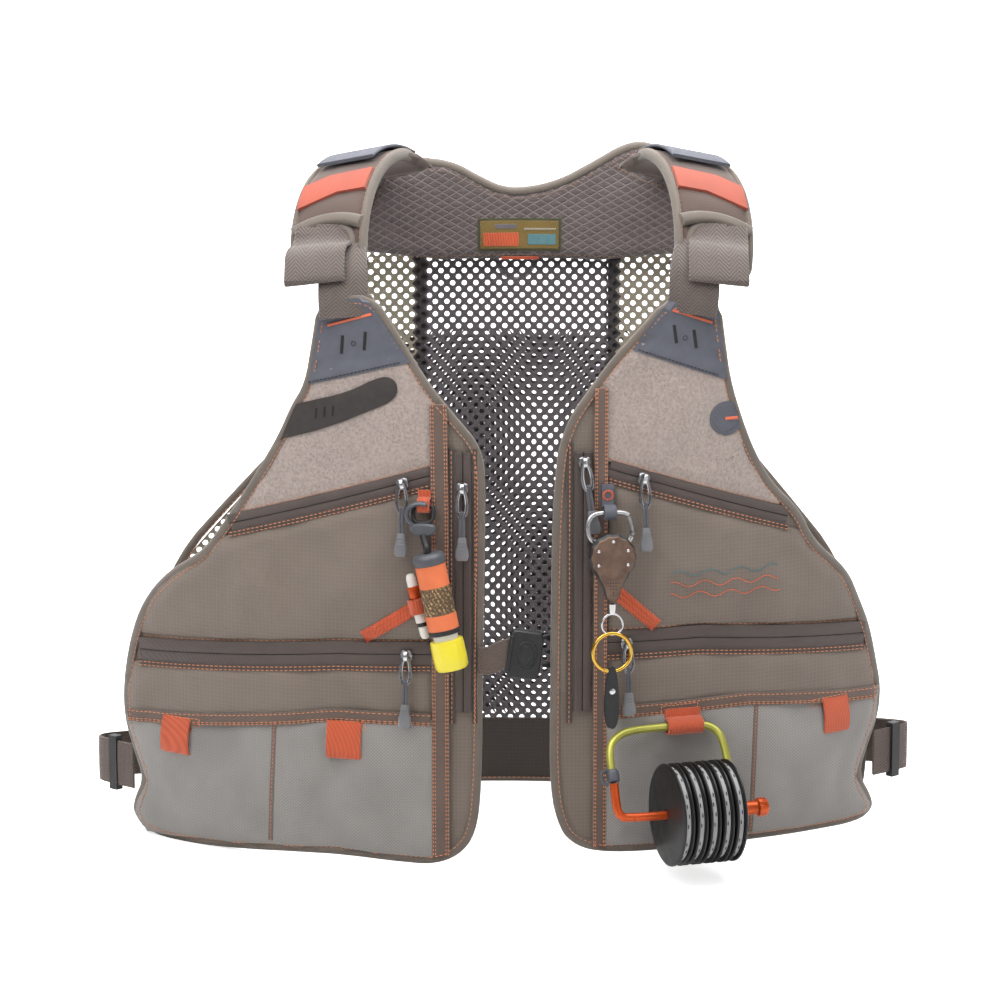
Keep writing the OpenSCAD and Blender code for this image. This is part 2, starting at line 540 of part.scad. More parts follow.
back_panel();
yoke();
hang_loop();
back_band();
shoulder_right();
shoulder_left();
shoulder_strips();
shoulder_straps();
side_webbing();
adjuster_right();
adjuster_left();
net_ring();
panel_right();
binding_right();
fleece_right();
hypalon_right();
tab_right();
chest_pocket_right();
lower_pocket_right();
mesh_pocket_right();
zips_right();
tape_right();
loops_right();
buckle_right();
slider_chest_right();
pull_chest_right();
slider_mid_right();
pull_mid_right();
slider_side_right();
floatant_clip();
floatant_sleeve();
floatant_bottle();
floatant_tube();
panel_left();
binding_left();
fleece_left();
hypalon_left();
chest_pocket_left();
lower_pocket_left();
mesh_pocket_left();
zips_left();
tape_left();
loops_left();
buckle_left();
slider_chest_left();
pull_chest_left();
slider_mid_left();
pull_mid_left();
slider_side_left();
carabiner();
carabiner_gate();
retractor_reel();
retractor_fob();
tippet_frame();
tippet_bar();
spool_1();
spool_2();
spool_3();
spool_4();
spool_5();
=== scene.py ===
"""Looks of the fishing vest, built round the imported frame.

Lengths are in millimetres in the vest's own system, x across, y to the back, z up from the hem.
V() turns them into the frame's metres.
"""
import math
import random

import bpy
import numpy as np
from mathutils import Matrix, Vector, noise
from mathutils.bvhtree import BVHTree
from mathutils.geometry import delaunay_2d_cdt


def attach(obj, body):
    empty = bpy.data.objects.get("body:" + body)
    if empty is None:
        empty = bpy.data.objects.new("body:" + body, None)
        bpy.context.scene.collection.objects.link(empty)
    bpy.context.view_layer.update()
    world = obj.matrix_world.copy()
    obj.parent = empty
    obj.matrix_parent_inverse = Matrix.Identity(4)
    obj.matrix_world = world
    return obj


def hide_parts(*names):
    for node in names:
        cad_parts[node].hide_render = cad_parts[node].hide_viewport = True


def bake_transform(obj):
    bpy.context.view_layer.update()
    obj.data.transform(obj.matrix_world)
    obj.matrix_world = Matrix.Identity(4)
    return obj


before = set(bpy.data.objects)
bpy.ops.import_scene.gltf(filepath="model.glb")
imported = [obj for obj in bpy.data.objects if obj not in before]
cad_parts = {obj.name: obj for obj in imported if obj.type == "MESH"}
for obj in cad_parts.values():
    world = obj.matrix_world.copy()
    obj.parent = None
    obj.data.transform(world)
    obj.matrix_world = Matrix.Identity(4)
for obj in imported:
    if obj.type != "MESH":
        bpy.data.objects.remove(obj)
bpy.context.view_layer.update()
random.seed(7)

HANG = (10, 122, 447)  # the hang loop, which is the frame's origin
AXIS_Y = 280  # the fronts are wrapped on an upright axis here
R0, R1, R2 = 400, 404, 405.5  # base cloth, pocket and mesh pocket
COLLAR_X, COLLAR_Y, COLLAR_R = 14, -60, 168  # the collar's upright axis and its radius


def V(p):
    """A place in the vest's millimetres as the frame's metres."""
    return Vector(((p[0] - HANG[0]) / 1000, (p[1] - HANG[1]) / 1000, (p[2] - HANG[2]) / 1000))


# ---------------------------------------------------------------- outlines, (x, z) from the front
EDGE = {
    "right": [
        (-129, 397), (-134, 366), (-139, 338), (-149, 322), (-158, 301), (-175, 272), (-202, 230),
        (-216, 211), (-243, 193), (-263, 168), (-274, 138), (-280, 104), (-280, 77), (-272, 53),
        (-265, 34), (-273, 16), (-274, 6), (-262, -7), (-216, -7), (-170, -3), (-118, 0), (-73, -3),
        (-50, -4), (-31, 3), (-19, 19), (-15, 52), (-14, 146), (-12, 264), (-13, 287), (-18, 301),
        (-29, 314), (-50, 339), (-72, 375), (-91, 405)],
    "left": [
        (152, 396), (156, 367), (160, 340), (169, 311), (178, 288), (191, 264), (213, 242),
        (223, 219), (250, 194), (261, 168), (269, 148), (275, 120), (279, 100), (277, 79), (269, 59),
        (262, 38), (274, 16), (273, 8), (262, 2), (226, 3), (165, 4), (98, 3), (65, 5), (50, 11),
        (40, 22), (33, 51), (33, 116), (34, 238), (37, 286), (40, 301), (47, 319), (59, 336),
        (75, 358), (95, 379), (114, 400)],
}
BINDING_W = 7
BACK_EDGE = [
    (-104, 405), (-112, 360), (-130, 318), (-160, 272), (-206, 226), (-240, 190), (-258, 140),
    (-262, 80), (-262, 30), (-256, 2), (-230, -4), (0, -4), (235, -4), (262, 2), (268, 30), (268, 80),
    (262, 140), (246, 190), (216, 226), (176, 272), (150, 318), (136, 360), (128, 405)]
YOKE_EDGE = [
    (-105, 405), (-102, 445), (-93, 466), (-78, 479), (-57, 479), (-37, 475), (-20, 465), (-2, 456),
    (17, 455), (43, 461), (68, 475), (92, 490), (107, 492), (117, 486), (127, 465), (133, 440),
    (133, 405)]
CLOTHS = {
    # name: side, outline, edge radius, rise within 9 mm of the edge, swell at the middle
    "fleece_right": ("right", [(-160, 299), (-196, 262), (-190, 241), (-45, 284), (-45, 345), (-60, 362),
                               (-138, 346), (-152, 330)], 400.8, 1.2, 0),
    "fleece_left": ("left", [(68, 288), (196, 248), (215, 262), (184, 300), (172, 330), (164, 347),
                             (92, 370), (68, 350)], 400.8, 1.2, 0),
    "chest_pocket_right": ("right", [(-206, 222), (-50, 271), (-50, 160), (-117, 158), (-275, 143),
                                     (-275, 200)], 400.6, 3.0, 2.4),
    "chest_pocket_left": ("left", [(74, 273), (218, 226), (272, 200), (276, 155), (140, 167),
                                   (74, 165)], 400.6, 3.0, 2.4),
    "lower_pocket_right": ("right", [(-280, 121), (-117, 137), (-50, 139), (-50, -12), (-285, -12),
                                     (-290, 60)], 400.6, 2.6, 0.36),
    "lower_pocket_left": ("left", [(73, 148), (140, 148), (280, 133), (290, 60), (285, -12),
                                   (73, -12)], 400.6, 2.6, 0.36),
    "mesh_pocket_right": ("right", [(-290, 78), (-275, 82), (-196, 92), (-117, 103), (-50, 102.5), (-50, 2),
                                    (-118, 6), (-166, 3), (-290, -6)], 403.6, 2.2, 2.6),
    "mesh_pocket_left": ("left", [(73, 107), (175, 110), (290, 98), (290, 8), (178, 9),
                                  (73, 10)], 403.6, 2.2, 2.6),
}


# ---------------------------------------------------------------- points and lines
def front(x, z, r=R0):
    """The point of a front above (x, z) at radius r."""
    return (x, AXIS_Y - math.sqrt(r * r - x * x), z)


def out_of_front(x):
    """The direction that points straight out of the front at x."""
    return (x / R0, -math.sqrt(1 - (x / R0) ** 2), 0)


def at(x, z, r):
    """A function from a place's own axes (along the surface, inward, up) to the vest's."""
    s = x / R0
    c = math.sqrt(1 - s * s)
    return lambda p: (c * p[0] - s * (p[1] - r), AXIS_Y + s * p[0] + c * (p[1] - r), z + p[2])


def direction(place, v):
    """The vest's direction of v in a place's own axes."""
    return [b - a for a, b in zip(place((0, 0, 0)), place(v))]


def back(x, z, r=398):
    """The point of the back above (x, z) at radius r."""
    return (x, -AXIS_Y + math.sqrt(r * r - x * x), z)


def collar(x, z, r):
    """The point of the collar above (x, z) at radius r."""
    return (x, COLLAR_Y + math.sqrt(r * r - (x - COLLAR_X) ** 2), z)


def resample(points, step, closed=False):
    """Points spaced evenly by about step along a line, corners kept."""
    line = list(points) + ([points[0]] if closed else [])
    out = []
    for a, b in zip(line, line[1:]):
        n = max(1, round(math.dist(a, b) / step))
        out += [tuple(p + (q - p) * i / n for p, q in zip(a, b)) for i in range(n)]
    return out if closed else out + [tuple(line[-1])]


def rounded(points, closed=True, rounds=2):
    """Cuts the corners of a line, so that it bends softly."""
    for _ in range(rounds):
        n = len(points)
        out = [] if closed else [points[0]]
        for i in range(n if closed else n - 1):
            a, b = points[i], points[(i + 1) % n]
            out += [tuple(p + (q - p) * t for p, q in zip(a, b)) for t in (0.25, 0.75)]
        points = out if closed else out + [points[-1]]
    return points


def normals(path, closed=False):
    """The unit normal, to the left of the way, at each point of an (x, z) line."""
    p = np.array(path, float)
    if closed:
        d = np.roll(p, -1, 0) - np.roll(p, 1, 0)
    else:
        d = np.gradient(p, axis=0)
    d /= np.maximum(np.linalg.norm(d, axis=1, keepdims=True), 1e-9)
    return np.stack([-d[:, 1], d[:, 0]], 1)


def signed_area(path):
    """An outline's area, below zero where it runs clockwise."""
    p = np.array(path, float)
    return 0.5 * np.sum(p[:, 0] * np.roll(p[:, 1], -1) - np.roll(p[:, 0], -1) * p[:, 1])


def leftward(path):
    """The same outline, anticlockwise."""
    return list(path) if signed_area(path) > 0 else list(path)[::-1]


def inset(path, d):
    """A closed outline moved in by d."""
    p = np.array(path, float)
    return [tuple(q) for q in p + normals(path, True) * d * np.sign(signed_area(path))]


def flat_profile(width, thick, crown=0.0):
    """A closed band profile of (across, up), lying on zero, with soft edges and a crowned face."""
    w, e = width / 2, min(thick, width / 2) * 0.4
    top = [(-w, thick * 0.45), (-w + e, thick), (-w * 0.4, thick + crown), (w * 0.4, thick + crown),
           (w - e, thick), (w, thick * 0.45)]
    return [(-w, 0)] + top + [(w, 0)]


def circle(n):
    """n angles, evenly round a full turn."""
    return [2 * math.pi * i / n for i in range(n)]


def round_profile(r, sides=10):
    """The profile of a wire or a rod."""
    return [(r * math.cos(a), r * math.sin(a)) for a in circle(sides)]


# ---------------------------------------------------------------- a piece made of many shapes
class Shape:
    """Collects closed shapes with their materials and becomes one object."""

    def __init__(self):
        self.verts, self.faces, self.slots, self.materials = [], [], [], []

    def add(self, shape, material):
        verts, faces = shape
        base = len(self.verts)
        if material not in self.materials:
            self.materials.append(material)
        slot = self.materials.index(material)
        self.verts += [tuple(map(float, v)) for v in verts]
        self.faces += [tuple(base + i for i in f) for f in faces]
        self.slots += [slot] * len(faces)
        return self

    def done(self, name, body, stands_for=(), slot=None):
        mesh = bpy.data.meshes.new(name)
        mesh.from_pydata([V(v) for v in self.verts], [], self.faces)
        for material in self.materials:
            mesh.materials.append(material)
        mesh.polygons.foreach_set("material_index", self.slots)
        mesh.polygons.foreach_set("use_smooth", [True] * len(self.faces))
        mesh.update()
        piece = bpy.data.objects.new(name, mesh)
        bpy.context.collection.objects.link(piece)
        soften(piece)
        if body:
            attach(piece, body)
        if stands_for:
            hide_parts(*stands_for)
        return piece


def soften(piece, angle=40):
    """Keeps edges sharper than angle crisp under smooth shading."""
    piece.data.set_sharp_from_angle(angle=math.radians(angle))


def rings(loops, closed=False):
    """Joins equal loops of points into a tube."""
    n, m = len(loops), len(loops[0])
    verts = [p for loop in loops for p in loop]
    faces = []
    for i in range(n if closed else n - 1):
        a, b = i * m, ((i + 1) % n) * m
        faces += [(a + j, a + (j + 1) % m, b + (j + 1) % m, b + j) for j in range(m)]
    if not closed:
        faces += [tuple(range(m - 1, -1, -1)), tuple((n - 1) * m + j for j in range(m))]
    return verts, faces


def band(path, profile, place, closed=False):
    """Runs a (across, up) profile along an (x, z) line; place(x, z, up) gives the point."""
    n = normals(path, closed)
    loops = [[place(p[0] + k[0] * u, p[1] + k[1] * u, h) for u, h in profile]
             for p, k in zip(path, n)]
    return rings(loops, closed)


def sweep(points, profile, closed=False, across=None, scale=None):
    """Runs a profile along a line in space. across fixes the profile's first axis."""
    p = [Vector(q) for q in points]
    n = len(p)
    loops, side = [], None
    for i in range(n):
        a, b = (p[i - 1], p[(i + 1) % n]) if closed else (p[max(i - 1, 0)], p[min(i + 1, n - 1)])
        t = (b - a).normalized()
        if across is not None:
            side = Vector(across)
        elif side is None:
            side = t.orthogonal()
        side = (side - t * side.dot(t)).normalized()
        up = t.cross(side)
        k = scale[i] if scale else 1
        loops.append([p[i] + side * u * k + up * h * k for u, h in profile])
    return rings(loops, closed)


def curve(points, step=1.5, rounds=3, closed=False):
    """A soft line in space through the middle of the given corners."""
    return resample(rounded(points, closed, rounds), step, closed)


def lathe(profile, centre, axis, sides=40, wobble=None):
    """Turns a line of (along, radius) about an axis."""
    axis = Vector(axis).normalized()
    u = axis.orthogonal().normalized()
    w = axis.cross(u)
    loops = []
    for k, (along, r) in enumerate(profile):
        loop = []
        for a in circle(sides):
            q = r * (wobble(a, k) if wobble else 1)
            loop.append(Vector(centre) + axis * along + (u * math.cos(a) + w * math.sin(a)) * q)
        loops.append(loop)
    return rings(loops)


def slab(outline, low, high, bevel, place):
    """A plate with soft edges: outline of (u, v), from low to high; place maps (u, v, h)."""
    inner = inset(outline, bevel)
    steps = [(inner, low), (outline, low + bevel), (outline, high - bevel), (inner, high)]
    return rings([[place(u, v, h) for u, v in loop] for loop, h in steps])


def box_outline(w, h, r=1.0, steps=4):
    """A rectangle with round corners, anticlockwise."""
    out = []
    for cx, cy, start in ((w / 2 - r, h / 2 - r, 0), (-w / 2 + r, h / 2 - r, 90),
                          (-w / 2 + r, -h / 2 + r, 180), (w / 2 - r, -h / 2 + r, 270)):
        for i in range(steps + 1):
            a = math.radians(start + 90 * i / steps)
            out.append((cx + r * math.cos(a), cy + r * math.sin(a)))
    return out


def stitches(shape, path, place, material, pitch=3.6, length=2.5, r=0.36, lift=0.2):
    """A row of thread dashes along an (x, z) line on a surface."""
    line = resample(path, 0.6)
    every, reach = round(pitch / 0.6), round(length / 0.6)
    for i in range(0, len(line) - reach, every):
        steps = [line[i + round(reach * t)] for t in (0, 0.25, 0.75, 1)]
        lifts = (0, lift + r * 0.4, lift + r * 0.4, 0)
        points = [place(x, z, h) for (x, z), h in zip(steps, lifts)]
        shape.add(sweep(points, round_profile(r, 5), scale=(0.4, 1, 1, 0.4)), material)


# ---------------------------------------------------------------- sheets of cloth
def inside(points, outline):
    """Which points lie inside an outline."""
    p, o = np.array(points, float), np.array(outline, float)
    hit = np.zeros(len(p), bool)
    for a, b in zip(o, np.roll(o, -1, 0)):
        cross = (a[1] > p[:, 1]) != (b[1] > p[:, 1])
        dz = b[1] - a[1] if b[1] != a[1] else 1e-9
        hit ^= cross & (p[:, 0] < (b[0] - a[0]) * (p[:, 1] - a[1]) / dz + a[0])
    return hit


def tile(outline, limit=None, step=4.0):
    """Triangles over an outline, cut off at limit: points, triangles and each point's distance in."""
    loops = [resample(leftward(loop), step, True) for loop in (outline, limit) if loop]
    o = np.array(outline)
    lo, hi = o.min(0), o.max(0)
    grid = [(x + (step / 2 if j % 2 else 0), z)
            for j, z in enumerate(np.arange(lo[1], hi[1], step * 0.866))
            for x in np.arange(lo[0], hi[0], step)]
    keep = np.ones(len(grid), bool)
    for loop in loops:
        keep &= inside(grid, loop)
        far = np.array(grid)[:, None, :] - np.array(loop)[None, :, :]
        keep &= (np.linalg.norm(far, axis=2).min(1) > step * 0.55)
    points = [Vector(p) for loop in loops for p in loop]
    faces, start = [], 0
    for loop in loops:
        faces.append(list(range(start, start + len(loop))))
        start += len(loop)
    points += [Vector(p) for p, k in zip(grid, keep) if k]
    out, _, tris, _, _, owners = delaunay_2d_cdt(points, [], faces, 1, 1e-4, True)
    tris = [t for t, own in zip(tris, owners) if len(set(own)) == len(loops)]
    used = sorted({i for t in tris for i in t})
    index = {k: i for i, k in enumerate(used)}
    points = np.array([tuple(out[k]) for k in used])
    tris = [tuple(index[i] for i in t) for t in tris]
    rim = border(tris)
    edge = points[sorted({i for e in rim for i in e})]
    dist = np.linalg.norm(points[:, None, :] - edge[None, :, :], axis=2).min(1)
    return points, tris, dist


def border(tris):
    """The edges that belong to one triangle only, each in its triangle's direction."""
    seen = {}
    for t in tris:
        for e in zip(t, t[1:] + t[:1]):
            key = tuple(sorted(e))
            seen[key] = None if key in seen else e
    return [e for e in seen.values() if e]


def thicken(points, tris, shift):
    """A closed shape from a sheet: shift moves each point to the other face."""
    n = len(points)
    verts = [tuple(p) for p in points] + [tuple(p) for p in np.array(points) + shift]
    faces = [tuple(t) for t in tris] + [tuple(n + i for i in reversed(t)) for t in tris]
    faces += [(b, a, n + a, n + b) for a, b in border(tris)]
    return verts, faces


def smooth_step(t):
    t = np.clip(t, 0, 1)
    return t * t * (3 - 2 * t)


def ripples(x, z, size, seed):
    """Soft unevenness of sewn cloth, from -1 to 1."""
    return noise.noise(Vector((x / size, seed * 7.3, z / size * 0.7)))


def evened(shift, tris, rounds=3):
    """Each point's shift, averaged with its neighbours' a few times."""
    t = np.array(tris)
    a, b = np.concatenate([t[:, 0], t[:, 1], t[:, 2]]), np.concatenate([t[:, 1], t[:, 2], t[:, 0]])
    for _ in range(rounds):
        total, count = shift.copy(), np.ones(len(shift))
        np.add.at(total, a, shift[b])
        np.add.at(count, a, 1)
        shift = total / count[:, None]
    return shift


def settle(sheets, pressure, grow, cap_out, cap_in, bending=0.4):
    """Lets sewn-down sheets buckle in one cloth simulation, and caps how far they move.

    sheets holds (points, triangles, pinned) in millimetres; the moved points come back.
    """
    points = np.vstack([s[0] for s in sheets])
    faces, base = [], 0
    for p, tris, _ in sheets:
        faces += [tuple(base + i for i in t) for t in tris]
        base += len(p)
    mesh = bpy.data.meshes.new("settling")
    mesh.from_pydata([V(p) for p in points], [], faces)
    cloth = bpy.data.objects.new("settling", mesh)
    bpy.context.collection.objects.link(cloth)
    group = cloth.vertex_groups.new(name="sewn")
    pinned = np.concatenate([s[2] for s in sheets])
    group.add([int(i) for i in np.nonzero(pinned)[0]], 1.0, "REPLACE")
    mod = cloth.modifiers.new("Cloth", "CLOTH")
    s = mod.settings
    s.vertex_group_mass = "sewn"
    s.quality = 5
    s.mass = 0.25
    s.tension_stiffness = s.compression_stiffness = s.shear_stiffness = 12
    s.bending_stiffness = bending
    s.shrink_min = -grow
    s.use_pressure = True
    s.uniform_pressure_force = pressure
    s.effector_weights.gravity = 0
    mod.collision_settings.use_collision = False
    for f in range(1, 21):
        bpy.context.scene.frame_set(f)
    moved = cloth.evaluated_get(bpy.context.evaluated_depsgraph_get()).data
    new = np.array([tuple(v.co) for v in moved.vertices]) * 1000 + np.array(HANG)
    bpy.data.objects.remove(cloth)
    bpy.data.meshes.remove(mesh)
    out, base = [], 0
    for p, tris, _ in sheets:
        p = np.array(p, float)
        q = new[base:base + len(p)]
        base += len(p)
        nrm = surface_normals(p, tris)
        d = q - p
        along = np.sum(d * nrm, 1)
        side = d - nrm * along[:, None]
        length = np.maximum(np.linalg.norm(side, axis=1, keepdims=True), 1e-9)
        side *= np.minimum(1, 1.2 / length)
        out.append(p + evened(side + nrm * np.clip(along, -cap_in, cap_out)[:, None], tris))
    bpy.context.scene.frame_set(1)
    return out


def surface_normals(points, tris):
    p, t = np.array(points, float), np.array(tris)
    n = np.cross(p[t[:, 1]] - p[t[:, 0]], p[t[:, 2]] - p[t[:, 0]])
    out = np.zeros_like(p)
    for k in range(3):
        np.add.at(out, t[:, k], n)
    return out / np.maximum(np.linalg.norm(out, axis=1, keepdims=True), 1e-9)


class Relief:
    """The outer face of one front as built so far, for laying things on it."""

    def __init__(self):
        self.verts, self.faces, self.tree = [], [], None

    def add(self, shape):
        base = len(self.verts)
        self.verts += [tuple(v) for v in shape[0]]
        self.faces += [tuple(base + i for i in f) for f in shape[1]]
        self.tree = None
        return shape

    def place(self, x, z, lift=0.0):
        if self.tree is None:
            self.tree = BVHTree.FromPolygons(self.verts, self.faces)
        hit = self.tree.ray_cast(Vector((x, -200, z)), Vector((0, 1, 0)))[0]
        p = hit if hit and hit.y < front(x, z, 394)[1] else Vector(front(x, z))
        n = out_of_front(x)
        return (p[0] + n[0] * lift, p[1] + n[1] * lift, p[2])


def flat_area(points, tris):
    p, t = np.array(points, float), np.array(tris)
    return 0.5 * np.linalg.norm(np.cross(p[t[:, 1]] - p[t[:, 0]], p[t[:, 2]] - p[t[:, 0]]), axis=1).sum()


# ---------------------------------------------------------------- materials
def rgb(r, g, b):
    """A colour on a 0 to 255 screen scale as the shader's linear one."""
    return tuple((c / 255 / 12.92) if c <= 10 else ((c / 255 + 0.055) / 1.055) ** 2.4
                 for c in (r, g, b)) + (1.0,)


class Look:
    """A node material, built up call by call. Sizes are in millimetres."""

    def __init__(self, name, rough=0.8, **sockets):
        self.mat = bpy.data.materials.new(name)
        self.mat.use_nodes = True
        self.nodes, self.links = self.mat.node_tree.nodes, self.mat.node_tree.links
        self.shader = self.nodes["Principled BSDF"]
        self.shader.inputs["Roughness"].default_value = rough
        for key, value in sockets.items():
            self.shader.inputs[key.replace("_", " ")].default_value = value
        coords = self.nodes.new("ShaderNodeTexCoord").outputs["Object"]
        split = self.nodes.new("ShaderNodeSeparateXYZ")
        self.links.new(coords, split.inputs[0])
        self.at = coords
        self.x, self.y, self.z = split.outputs

    def put(self, value, socket):
        if isinstance(value, bpy.types.NodeSocket):
            self.links.new(value, socket)
        else:
            socket.default_value = value

    def math(self, op, a, b=0.0):
        node = self.nodes.new("ShaderNodeMath")
        node.operation = op
        self.put(a, node.inputs[0])
        self.put(b, node.inputs[1])
        return node.outputs[0]

    def wave(self, along, pitch, power=1.0):
        """0 to 1 and back every pitch, narrow where power is high."""
        turn = self.math("SINE", self.math("MULTIPLY", along, 2000 * math.pi / pitch))
        half = self.math("MULTIPLY_ADD", turn, 0.5)
        half.node.inputs[2].default_value = 0.5
        return self.math("POWER", half, power)

    def noise(self, size, detail=3.0, rough=0.5):
        node = self.nodes.new("ShaderNodeTexNoise")
        self.links.new(self.at, node.inputs["Vector"])
        node.inputs["Scale"].default_value = 1000 / size
        node.inputs["Detail"].default_value = detail
        node.inputs["Roughness"].default_value = rough
        return node.outputs["Fac"]

    def cells(self, size, feature="F1"):
        node = self.nodes.new("ShaderNodeTexVoronoi")
        node.feature = feature
        self.links.new(self.at, node.inputs["Vector"])
        node.inputs["Scale"].default_value = 1000 / size
        return node.outputs["Distance"]

    def spread(self, value, low, high):
        """Stretches low..high to 0..1."""
        node = self.nodes.new("ShaderNodeMapRange")
        self.put(value, node.inputs["Value"])
        node.inputs["From Min"].default_value = low
        node.inputs["From Max"].default_value = high
        return node.outputs[0]

    def mix(self, factor, a, b):
        node = self.nodes.new("ShaderNodeMix")
        node.data_type = "RGBA"
        self.put(factor, node.inputs[0])
        self.put(a, node.inputs[6])
        self.put(b, node.inputs[7])
        return node.outputs[2]

    def done(self, colour, height=None, depth=0.3, strength=0.6, rough=None):
        self.put(colour, self.shader.inputs["Base Color"])
        if rough is not None:
            self.put(rough, self.shader.inputs["Roughness"])
        if height is not None:
            bump = self.nodes.new("ShaderNodeBump")
            bump.inputs["Strength"].default_value = strength
            bump.inputs["Distance"].default_value = depth / 1000
            self.links.new(height, bump.inputs["Height"])
            self.links.new(bump.outputs[0], self.shader.inputs["Normal"])
        return self.mat


def ripstop(name, colour, line, pitch=2.8):
    """Plain weave with a fine grid of thicker threads."""
    k = Look(name, 0.82, Sheen_Weight=0.25, Sheen_Roughness=0.5)
    grid = k.math("MAXIMUM", k.wave(k.x, pitch, 10), k.wave(k.z, pitch, 10))
    weave = k.math("MULTIPLY", k.wave(k.x, 0.7), k.wave(k.z, 0.7))
    body = k.mix(k.spread(k.noise(70), 0.35, 0.65), colour, [c * 0.84 for c in colour[:3]] + [1])
    body = k.mix(k.math("MULTIPLY", k.noise(1.4, 2), 0.25), body, line)
    height = k.math("ADD", k.math("MULTIPLY", grid, 0.8), weave)
    height = k.math("ADD", height, k.math("MULTIPLY", k.noise(14, 2), 3.0))
    return k.done(k.mix(k.math("MULTIPLY", grid, 0.34), body, line), height, 0.25, 0.5)


def twill(name, colour, line, pitch=1.8, slope=1.0, depth=0.25, rough=0.85):
    """Ribs on the slant, as in tape and binding."""
    k = Look(name, rough, Sheen_Weight=0.3, Sheen_Roughness=0.5)
    slant = k.math("ADD", k.math("ADD", k.x, k.y), k.math("MULTIPLY", k.z, slope))
    rib = k.wave(slant, pitch)
    other = k.wave(k.math("SUBTRACT", k.z, k.x), pitch * 0.7)
    body = k.mix(k.spread(k.noise(26), 0.3, 0.7), colour, [c * 0.78 for c in colour[:3]] + [1])
    height = k.math("ADD", rib, k.math("MULTIPLY", other, 0.5))
    return k.done(k.mix(k.math("MULTIPLY", rib, 0.45), body, line), height, depth, 0.7)


def herringbone(name, colour, line, turn=7.0, pitch=2.6):
    """Webbing whose ribs change slant every few millimetres."""
    k = Look(name, 0.88, Sheen_Weight=0.3, Sheen_Roughness=0.5)
    zigzag = k.math("PINGPONG", k.x, turn / 1000)
    rib = k.wave(k.math("ADD", k.z, zigzag), pitch)
    thread = k.wave(k.x, 1.1)
    body = k.mix(k.spread(k.noise(20), 0.3, 0.7), colour, [c * 0.8 for c in colour[:3]] + [1])
    height = k.math("ADD", rib, k.math("MULTIPLY", thread, 0.3))
    return k.done(k.mix(k.math("MULTIPLY", rib, 0.6), body, line), height, 0.35, 0.8)


def loop_fleece(name, colour, light, dark):
    k = Look(name, 0.95, Sheen_Weight=0.5, Sheen_Roughness=0.6)
    grain = k.spread(k.noise(2.2, 4, 0.7), 0.38, 0.62)
    patch = k.spread(k.noise(38, 2), 0.35, 0.65)
    body = k.mix(patch, colour, [c * 0.88 for c in colour[:3]] + [1])
    body = k.mix(k.math("MULTIPLY", grain, 0.75), body, light)
    specks = k.spread(k.cells(2.6), 0.25, 0.0)
    body = k.mix(k.math("MULTIPLY", specks, 0.5), body, dark)
    return k.done(body, k.math("ADD", grain, k.noise(7, 2)), 0.7, 0.8)


def dotted_mesh(name, colour, hole, pitch=2.3):
    """Fine knit with small dark holes, in staggered rows."""
    k = Look(name, 0.85, Sheen_Weight=0.3, Sheen_Roughness=0.5)
    a = k.wave(k.math("ADD", k.x, k.z), pitch)
    b = k.wave(k.math("SUBTRACT", k.x, k.z), pitch)
    dot = k.spread(k.math("MULTIPLY", a, b), 0.45, 0.8)
    body = k.mix(k.spread(k.noise(45), 0.35, 0.65), colour, [c * 0.85 for c in colour[:3]] + [1])
    height = k.math("SUBTRACT", k.noise(18, 2), k.math("MULTIPLY", dot, 0.5))
    return k.done(k.mix(k.math("MULTIPLY", dot, 0.75), body, hole), height, 0.5, 0.6)


def quilt(name, colour, line):
    """Lining with a small raised diamond pattern."""
    k = Look(name, 0.9, Sheen_Weight=0.4, Sheen_Roughness=0.5)
    wide = k.math("MULTIPLY", k.z, 1.7)
    a = k.wave(k.math("ADD", k.x, wide), 10.5, 9)
    b = k.wave(k.math("SUBTRACT", k.x, wide), 10.5, 9)
    lines = k.math("MAXIMUM", a, b)
    body = k.mix(k.spread(k.noise(3, 4, 0.7), 0.35, 0.65), colour, [c * 0.7 for c in colour[:3]] + [1])
    height = k.math("SUBTRACT", k.math("MULTIPLY", k.noise(2, 2), 0.3), lines)
    return k.done(k.mix(k.math("MULTIPLY", lines, 0.55), body, line), height, 0.9, 0.8)


def grained(name, colour, size=1.2, rough=0.6, depth=0.15, tint=0.8, **sockets):
    """Moulded or skinned surface with a fine grain and slight wear in its gloss."""
    k = Look(name, rough, **sockets)
    grain = k.noise(size, 3, 0.6)
    body = k.mix(k.spread(k.noise(size * 12), 0.3, 0.7), colour, [c * tint for c in colour[:3]] + [1])
    shine = k.math("MULTIPLY_ADD", k.noise(size * 6, 3), 0.25)
    shine.node.inputs[2].default_value = rough - 0.12
    return k.done(body, grain, depth, 0.5, shine)


def leather(name, colour, dark):
    k = Look(name, 0.55, Coat_Weight=0.15)
    pores = k.cells(1.5)
    body = k.mix(k.spread(k.noise(9, 4), 0.35, 0.7), colour, dark)
    body = k.mix(k.spread(pores, 0.3, 0.0), body, dark)
    return k.done(body, pores, 0.25, 0.6)


def glitter(name, colour, spark):
    """Stretch knit with metallic thread in slanting strokes."""
    k = Look(name, 0.45, Metallic=0.25)
    slant = k.math("ADD", k.x, k.math("MULTIPLY", k.z, 0.6))
    fleck = k.math("MULTIPLY", k.spread(k.noise(1.6, 4, 0.8), 0.5, 0.6), k.wave(slant, 3.0))
    return k.done(k.mix(fleck, colour, spark), k.noise(1.2, 3), 0.4, 0.8)


